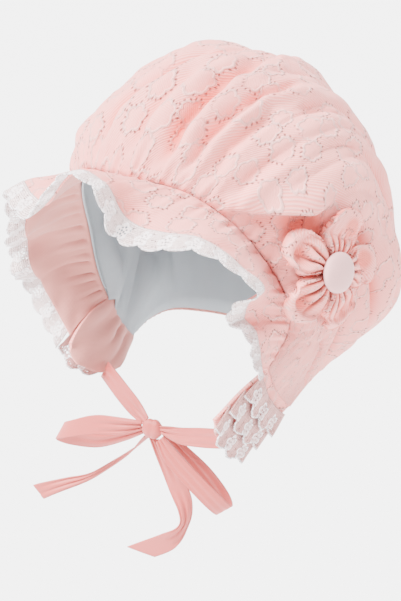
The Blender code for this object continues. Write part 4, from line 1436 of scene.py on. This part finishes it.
def make_button(scene):
    """A covered button: a turned dome that sits on the petals' inner ends."""
    skin = shared_materials(scene)
    centre, right, up, facing = flower_frame()
    across, out = np.meshgrid(np.linspace(-1, 1, 33), np.linspace(0, 1, 33))
    seat = -1.0
    for number in range(PETAL_COUNT):
        radius, _, height, _ = petal_shape(number, across, out, scene.bonnet_trim.pleat_depth)
        seat = max(seat, height[radius <= BUTTON_RADIUS * 0.9].max())
    seat = min(seat, BUTTON_SEAT)
    profile = [(0, BUTTON_HEIGHT)]
    for step in range(1, 13):
        angle = math.radians(90 * step / 12)
        rise = BUTTON_HEIGHT * (0.2 + 0.8 * math.cos(angle) ** 0.8)
        profile.append((BUTTON_RADIUS * math.sin(angle), rise))
    profile += [(0.985 * BUTTON_RADIUS, 0.05 * BUTTON_HEIGHT), (0.9 * BUTTON_RADIUS, 0), (0, 0)]
    mesh = bpy.data.meshes.new("flower_button")
    edges = [(i, i + 1) for i in range(len(profile) - 1)]
    mesh.from_pydata([(x, 0, z) for x, z in profile], edges, [])
    turned = add_object("button_profile", mesh)
    screw = turned.modifiers.new("turned", "SCREW")
    screw.steps = screw.render_steps = 64
    screw.use_merge_vertices = True
    screw.merge_threshold = 0.0001
    mesh = plain_mesh(turned)
    bm = bmesh.new()
    bm.from_mesh(mesh)
    bmesh.ops.remove_doubles(bm, verts=bm.verts, dist=1e-5)
    bmesh.ops.recalc_face_normals(bm, faces=bm.faces)
    flat = np.array([v.co[:2] for v in bm.verts])
    bm.to_mesh(mesh)
    bm.free()
    axes = Matrix((right, up, facing)).transposed().to_4x4()
    axes.translation = Vector(centre + facing * (seat + GAP) + HEAD_CENTRE)
    mesh.transform(axes)
    set_flat(mesh, flat)
    mesh.shade_smooth()
    button = add_object("flower_button", mesh, skin["button"])
    declare(button, ["button"])


def strip_length(rows):
    """The length of a ribbon that follows the rows of a route."""
    route = table(RIBBON_COLUMNS, rows)
    knots = np.linspace(-1, 1, len(rows))
    at = np.linspace(-1, 1, 200)
    place = np.stack([smooth(knots, route[key], at) for key in ("across", "up", "back")], -1)
    return float(np.linalg.norm(np.diff(place, axis=0), axis=1).sum() * RIBBON_WIDTH)


def make_ribbon(name, node, rows, grid, material, end_cut=0.0):
    """A ribbon laid along a route, its end cut aslant where end_cut says so."""
    strip = lay_cloth(
        name, lambda x, y: ribbon_surface(rows, x, y, end_cut), grid, RIBBON_WALL, (material,),
        offset=0.0,
    )
    length = round(strip_length(rows), 3)
    declare(strip, [node])


def make_ties(scene):
    """The ties to the knot, and the bow's loops and tails."""
    ribbon = shared_materials(scene)["ribbon"]
    for side in FLAPS:
        make_ribbon("tie_ribbon_" + side, "tie_" + side, tie_rows(side), TIE_GRID, ribbon, 0.0)
    for side, loop in (("right", LOOP_RIGHT), ("left", LOOP_LEFT)):
        make_ribbon("bow_loop_ribbon_" + side, "bow_loop_" + side, loop, LOOP_GRID, ribbon)
    for side, tail in (("right", TAIL_RIGHT), ("left", TAIL_LEFT)):
        name, node = "bow_tail_ribbon_" + side, "bow_tail_" + side
        make_ribbon(name, node, tail, TAIL_GRID, ribbon, TAIL_CUTS[side])


def make_knot(scene):
    """The bow's knot: a ribbon drawn tight, folded along its way round."""
    skin = shared_materials(scene)
    bm = bmesh.new()
    bmesh.ops.create_uvsphere(bm, u_segments=72, v_segments=48, radius=1.0)
    co = np.array([v.co for v in bm.verts])
    turn = np.arctan2(co[:, 1], co[:, 2])
    along = co[:, 0]
    fold = np.abs(np.sin(2.6 * along * math.pi / 2 + 0.25 * np.sin(2 * turn))) ** 0.7
    scale = 1 - 0.10 * (1 - fold) * (1 - along**4)
    square = 1 + 0.10 * np.cos(2 * turn) * (1 - along**2)
    co[:, 1:] *= (scale * square)[:, None]
    co[:, 0] = np.sign(along) * np.abs(along) ** 0.85
    for vert, place in zip(bm.verts, co * np.array([KNOT_LENGTH, KNOT_DEPTH, KNOT_HEIGHT]) / 2):
        vert.co = place
    mesh = bpy.data.meshes.new("bow_knot_wrap")
    flat = np.stack([along * KNOT_LENGTH, turn * KNOT_HEIGHT / 2], -1)
    bm.to_mesh(mesh)
    bm.free()
    place = Matrix.Rotation(BOW_TURN, 4, "Z")
    place.translation = Vector(knot_centre() + HEAD_CENTRE)
    mesh.transform(place)
    set_flat(mesh, flat)
    mesh.shade_smooth()
    knot = add_object("bow_knot_wrap", mesh, skin["ribbon"])
    declare(knot, ["bow_knot"])


def stitch_tree():
    """Geometry Nodes that set short stitches end to end along a path."""
    tree = bpy.data.node_groups.get("Running stitches")
    if tree:
        return tree
    names = ("Stitch Length", "Stitch Spacing", "Thread Diameter")
    tree, given = new_tree("Running stitches", [(name, "Float") for name in names])
    path = add_node(tree, "GeometryNodeMeshToCurve", {"Mesh": given["Geometry"]})
    points = add_node(
        tree, "GeometryNodeResampleCurve",
        {"Curve": path, "Length": given["Stitch Spacing"]},
        mode="LENGTH",
    )
    ball = add_node(tree, "GeometryNodeMeshUVSphere", {"Segments": 6, "Rings": 4, "Radius": 0.5})
    thick = given["Thread Diameter"]
    size = add_node(
        tree, "ShaderNodeCombineXYZ", {"X": given["Stitch Length"], "Y": thick, "Z": thick}
    )
    way = add_node(tree, "GeometryNodeInputTangent")
    turn = add_node(tree, "FunctionNodeAlignRotationToVector", {"Vector": way}, axis="X")
    laid = add_node(
        tree, "GeometryNodeInstanceOnPoints",
        {"Points": points, "Instance": ball, "Rotation": turn, "Scale": size},
    )
    real = add_node(tree, "GeometryNodeRealizeInstances", {"Geometry": laid})
    return end_tree(tree, real, given["Material"])


def sew(name, lines, stitches, material):
    """Stitches along lines of points, as one plain mesh."""
    points = np.concatenate(lines) + HEAD_CENTRE
    edges = []
    first = 0
    for row in lines:
        edges += [(first + k, first + k + 1) for k in range(len(row) - 1)]
        first += len(row)
    mesh = bpy.data.meshes.new(name + "_path")
    mesh.from_pydata([tuple(p) for p in points], edges, [])
    path = add_object(name + "_path", mesh)
    sewing = path.modifiers.new("stitches", "NODES")
    sewing.node_group = stitch_tree()
    set_inputs(sewing, sewing.node_group, {
        "Stitch Length": stitches.stitch_length,
        "Stitch Spacing": stitches.stitch_spacing,
        "Thread Diameter": stitches.thread_diameter,
        "Material": material,
    })
    mesh = plain_mesh(path)
    mesh.name = name
    while mesh.uv_layers:
        mesh.uv_layers.remove(mesh.uv_layers[0])
    set_flat(mesh, read_places(mesh)[:, [0, 2]])
    mesh.shade_smooth()
    return add_object(name, mesh, material)


def make_stitches(scene):
    """Rows of stitches where the lace is sewn to the brim and down both ear flaps."""
    skin = shared_materials(scene)
    stitches = scene.bonnet_stitches
    u = np.linspace(-0.97, 0.995, 1200)
    rows = []
    for up_from_lace in HEM_ROWS:
        place, normal, _ = brim_detail(u, np.full_like(u, 1 - LACE_SHARE - up_from_lace))
        rows.append(place + normal * 0.15 * stitches.thread_diameter)
    hem = sew("brim_hem_stitches", rows, stitches, skin["thread"])
    declare(hem, [])
    down = np.linspace(0.04, 0.97, 200)
    rows = []
    for side in ("left", "right"):
        for place in FLAP_ROWS:
            across = np.full_like(down, place)
            raised = flap_surface(side, across, down)[1] * 0.2 * stitches.thread_diameter
            rows.append(flap_detail(side, across, down) + raised)
    seams = sew("flap_seam_stitches", rows, stitches, skin["thread"])
    declare(seams, [])


def make_stage(scene):
    """A pale floor well below the bonnet, an even pale wall behind, soft lights and the camera."""
    stage = scene.bonnet_stage
    mesh = grid_mesh("floor", 1, 1, stage.floor_size / 2)
    mesh.transform(Matrix.Translation((0, 0, CAD_BOX[0].z - stage.floor_drop)))
    material = bpy.data.materials.new("Pale studio floor")
    material.use_nodes = True
    shader = material.node_tree.nodes["Principled BSDF"]
    shader.inputs["Base Color"].default_value = (*stage.floor_colour, 1)
    shader.inputs["Roughness"].default_value = 0.9
    add_object("floor", mesh, material)
    world = bpy.data.worlds.new("studio")
    world.use_nodes = True
    background = world.node_tree.nodes["Background"]
    background.inputs["Color"].default_value = (1, 1, 1, 1)
    background.inputs["Strength"].default_value = stage.fill_strength
    tree = world.node_tree
    seen = add_node(tree, "ShaderNodeLightPath").outputs["Is Camera Ray"]
    bright = add_node(
        tree, "ShaderNodeMath",
        seen, stage.wall_strength, stage.fill_strength, operation="MULTIPLY_ADD",
    )
    tree.links.new(bright.outputs[0], background.inputs["Strength"])
    scene.world = world
    for name, way, spread, share in LIGHTS:
        light = bpy.data.lights.new(name, "SUN")
        light.angle = math.radians(spread)
        light.energy = stage.key_strength * share
        lamp = bpy.data.objects.new(name, light)
        lamp.rotation_euler = Vector(way).to_track_quat("Z", "Y").to_euler()
        scene.collection.objects.link(lamp)
    turn, rise, roll = (math.radians(a) for a in (stage.azimuth, stage.elevation, stage.roll))
    right = Vector((math.cos(turn), math.sin(turn), 0))
    level = math.cos(rise)
    back = Vector((math.sin(turn) * level, -math.cos(turn) * level, math.sin(rise)))
    up = back.cross(right)
    rolled = right * math.cos(roll) + up * math.sin(roll)
    up = up * math.cos(roll) - right * math.sin(roll)
    head = Vector(HEAD_CENTRE)
    eye = head + back * stage.distance
    aim = head - rolled * AIM_LEFT - up * AIM_DOWN
    look = (eye - aim).normalized()
    side = up.cross(look).normalized()
    axes = Matrix((side, look.cross(side), look)).transposed().to_4x4()
    axes.translation = eye
    camera = bpy.data.objects.new("camera", bpy.data.cameras.new("camera"))
    camera.data.sensor_width = SENSOR_WIDTH
    camera.data.lens = SENSOR_WIDTH * PIXELS_PER_METRE * stage.distance / PHOTO_HEIGHT
    camera.matrix_world = axes
    scene.collection.objects.link(camera)
    scene.camera = camera


def colour_field(name, text, code):
    """A colour that a user may change, from its sRGB hex value."""
    return FloatVectorProperty(
        name=name, description=text, subtype="COLOR", size=3, default=linear(code), min=0, max=1
    )


def length_field(name, text, default, low, high):
    """A size in metres that a user may change, between its limits."""
    return FloatProperty(
        name=name, description=text, default=default, min=low, max=high, unit="LENGTH"
    )


class BonnetCloth(PropertyGroup):
    """Sizes and colours of the woven cloths."""

    colour: colour_field("Jacquard", "Colour of the outer cloth", "#F1877E")
    # Painted highlight on the jacquard's raised ribs and outlines.
    painted_highlight_tone: colour_field("Jacquard Light", "Colour of its raised threads", "#FAB8B0")
    # Painted shade in the deepest folds and in the small openings.
    painted_deep_shade_tone: colour_field("Jacquard Deep", "Colour in its small openings", "#7E352D")
    # Painted shade in the cloth's folds and creases.
    painted_fold_shade_tone: colour_field("Jacquard Hollow", "Colour deep in its folds", "#E0604F")
    # The facing's own pink, made darker as painted shade for the shade inside the brim.
    facing_colour_with_painted_shade: colour_field("Facing", "Colour of the plain cloth inside the brim", "#C67E74")
    # The lining's own grey, made darker as painted shade for the shade inside the hood.
    lining_colour_with_painted_shade: colour_field("Lining", "Colour of the lining", "#939A9F")
    motif_size: length_field("Motif Size", "Spacing of the woven motifs", 0.0165, 0.005, 0.05)
    rib_spacing: length_field("Rib Spacing", "Spacing of the woven ribs", 0.0012, 0.0005, 0.01)
    pucker_height: length_field("Pucker Height", "Height of the puckers at the seams", 0.0010, 0, 0.003)
    wrinkle_height: length_field("Wrinkle Height", "Height of the soft wrinkles", 0.00055, 0, 0.003)


class BonnetLace(PropertyGroup):
    """Sizes and colours of the lace."""

    colour: colour_field("Lace", "Colour of the lace", "#F6EEF0")
    # Painted shade in the net's openings.
    painted_net_shade_colour: colour_field("Net Shade", "Colour in the net's openings", "#8F6A67")
    net_colour: colour_field("Net", "Colour of the net between the lace's flowers", "#EFD9D7")
    frill_colour: colour_field("Frill Net", "Colour of the net over the pink ear flaps", "#D0968F")
    net_spacing: length_field("Net Spacing", "Spacing of the net's openings", 0.0011, 0.0004, 0.004)
    eyelet_scale: FloatProperty(
        name="Eyelet Size", description="Size of the open eyelets against their table",
        default=1.25, min=0.3, max=1.3,
    )


class BonnetTrim(PropertyGroup):
    """Sizes and colours of the flower and the ribbon ties."""

    ribbon_colour: colour_field("Ribbon", "Colour of the ribbon", "#B54E47")
    button_colour: colour_field("Button", "Colour of the covered button", "#DFA6A4")
    pleat_depth: length_field("Pleat Depth", "Depth of the petals' pleats", 0.0042, 0, 0.006)
    rib_spacing: length_field("Ribbon Rib Spacing", "Spacing of its ribs", 0.0009, 0.0003, 0.004)


class BonnetStitches(PropertyGroup):
    """Sizes of the sewing stitches."""

    stitch_length: length_field("Stitch Length", "Length of a stitch", 0.0019, 0.0005, 0.006)
    stitch_spacing: length_field("Stitch Spacing", "From one stitch to the next", 0.0024, 0.0006, 0.008)
    thread_diameter: length_field("Thread", "Thickness of the thread", 0.0003, 0.0001, 0.001)
    thread_colour: colour_field("Thread Colour", "Colour of the thread", "#E9A199")


class BonnetStage(PropertyGroup):
    """The floor, the lights and the camera."""

    floor_colour: colour_field("Floor", "Colour of the floor", "#FAFAFA")
    floor_size: length_field("Floor Size", "Side of the floor", 60.0, 1, 1000)
    floor_drop: length_field("Floor Drop", "How far the floor lies below the ties", 0.25, 0, 10)
    key_strength: FloatProperty(
        name="Key Light", description="Strength of the main soft light", default=18.5, min=0
    )
    fill_strength: FloatProperty(
        name="Fill Light", description="Strength of the light all round", default=0.55, min=0
    )
    wall_strength: FloatProperty(
        name="Wall", description="How bright the wall behind the floor is", default=5.2, min=0
    )
    azimuth: FloatProperty(
        name="Azimuth", description="Camera's way round, in degrees", default=42.64
    )
    elevation: FloatProperty(
        name="Elevation", description="Camera's height, in degrees", default=19.92
    )
    roll: FloatProperty(
        name="Roll", description="Camera's turn about its own axis, in degrees", default=3.65
    )
    distance: length_field("Distance", "From the camera to the head's centre", 1.3, 0.5, 20)


class BONNET_OT_crown(Operator):
    """Makes the puffed crown and gathers it to the face seam and the nape"""

    bl_idname = "bonnet.make_crown"
    bl_label = "Crown"

    def execute(self, context):
        make_crown(context.scene)
        return {"FINISHED"}


class BONNET_OT_lining(Operator):
    """Makes the smooth lining inside the crown"""

    bl_idname = "bonnet.make_lining"
    bl_label = "Lining"

    def execute(self, context):
        make_lining(context.scene)
        return {"FINISHED"}


class BONNET_OT_brim(Operator):
    """Makes the waved brim round the face"""

    bl_idname = "bonnet.make_brim"
    bl_label = "Brim"

    def execute(self, context):
        make_brim(context.scene)
        return {"FINISHED"}


class BONNET_OT_brim_lace(Operator):
    """Makes the lace that edges the brim"""

    bl_idname = "bonnet.make_brim_lace"
    bl_label = "Brim Lace"

    def execute(self, context):
        make_brim_lace(context.scene)
        return {"FINISHED"}


class BONNET_OT_flaps(Operator):
    """Makes the ear flaps and their lace frills"""

    bl_idname = "bonnet.make_flaps"
    bl_label = "Ear Flaps"

    def execute(self, context):
        make_flaps(context.scene)
        return {"FINISHED"}


class BONNET_OT_flower(Operator):
    """Makes the flower's pleated petals"""

    bl_idname = "bonnet.make_flower"
    bl_label = "Flower"

    def execute(self, context):
        make_flower(context.scene)
        return {"FINISHED"}


class BONNET_OT_button(Operator):
    """Makes the flower's covered button"""

    bl_idname = "bonnet.make_button"
    bl_label = "Button"

    def execute(self, context):
        make_button(context.scene)
        return {"FINISHED"}


class BONNET_OT_ties(Operator):
    """Makes the chin ties and the bow's loops and tails"""

    bl_idname = "bonnet.make_ties"
    bl_label = "Chin Ties"

    def execute(self, context):
        make_ties(context.scene)
        return {"FINISHED"}


class BONNET_OT_knot(Operator):
    """Makes the bow's knot"""

    bl_idname = "bonnet.make_knot"
    bl_label = "Bow Knot"

    def execute(self, context):
        make_knot(context.scene)
        return {"FINISHED"}


class BONNET_OT_stitches(Operator):
    """Sews the rows of stitches that show"""

    bl_idname = "bonnet.make_stitches"
    bl_label = "Stitches"

    def execute(self, context):
        make_stitches(context.scene)
        return {"FINISHED"}


class BONNET_OT_stage(Operator):
    """Sets up the floor, the lights and the camera"""

    bl_idname = "bonnet.make_stage"
    bl_label = "Stage"

    def execute(self, context):
        make_stage(context.scene)
        return {"FINISHED"}


GROUPS = {
    "bonnet_cloth": BonnetCloth,
    "bonnet_lace": BonnetLace,
    "bonnet_trim": BonnetTrim,
    "bonnet_stitches": BonnetStitches,
    "bonnet_stage": BonnetStage,
}
STEPS = (
    BONNET_OT_stage,
    BONNET_OT_crown,
    BONNET_OT_lining,
    BONNET_OT_brim,
    BONNET_OT_brim_lace,
    BONNET_OT_flaps,
    BONNET_OT_flower,
    BONNET_OT_button,
    BONNET_OT_ties,
    BONNET_OT_knot,
    BONNET_OT_stitches,
)


class BONNET_PT_panel(Panel):
    """Lists the bonnet's pieces and their sizes and colours"""

    bl_label = "Baby Bonnet"
    bl_space_type = "VIEW_3D"
    bl_region_type = "UI"
    bl_category = "Bonnet"

    def draw(self, context):
        for step in STEPS:
            self.layout.operator(step.bl_idname)
        for name, group in GROUPS.items():
            box = self.layout.box()
            for field in group.__annotations__:
                box.prop(getattr(context.scene, name), field)


CLASSES = (*GROUPS.values(), *STEPS, BONNET_PT_panel)


def register():
    for made in CLASSES:
        bpy.utils.register_class(made)
    for name, group in GROUPS.items():
        setattr(bpy.types.Scene, name, PointerProperty(type=group))


def unregister():
    for name in GROUPS:
        delattr(bpy.types.Scene, name)
    for made in reversed(CLASSES):
        bpy.utils.unregister_class(made)


def main():
    register()
    for step in STEPS:
        space, name = step.bl_idname.split(".")
        getattr(getattr(bpy.ops, space), name)()


if __name__ == "__main__":
    main()
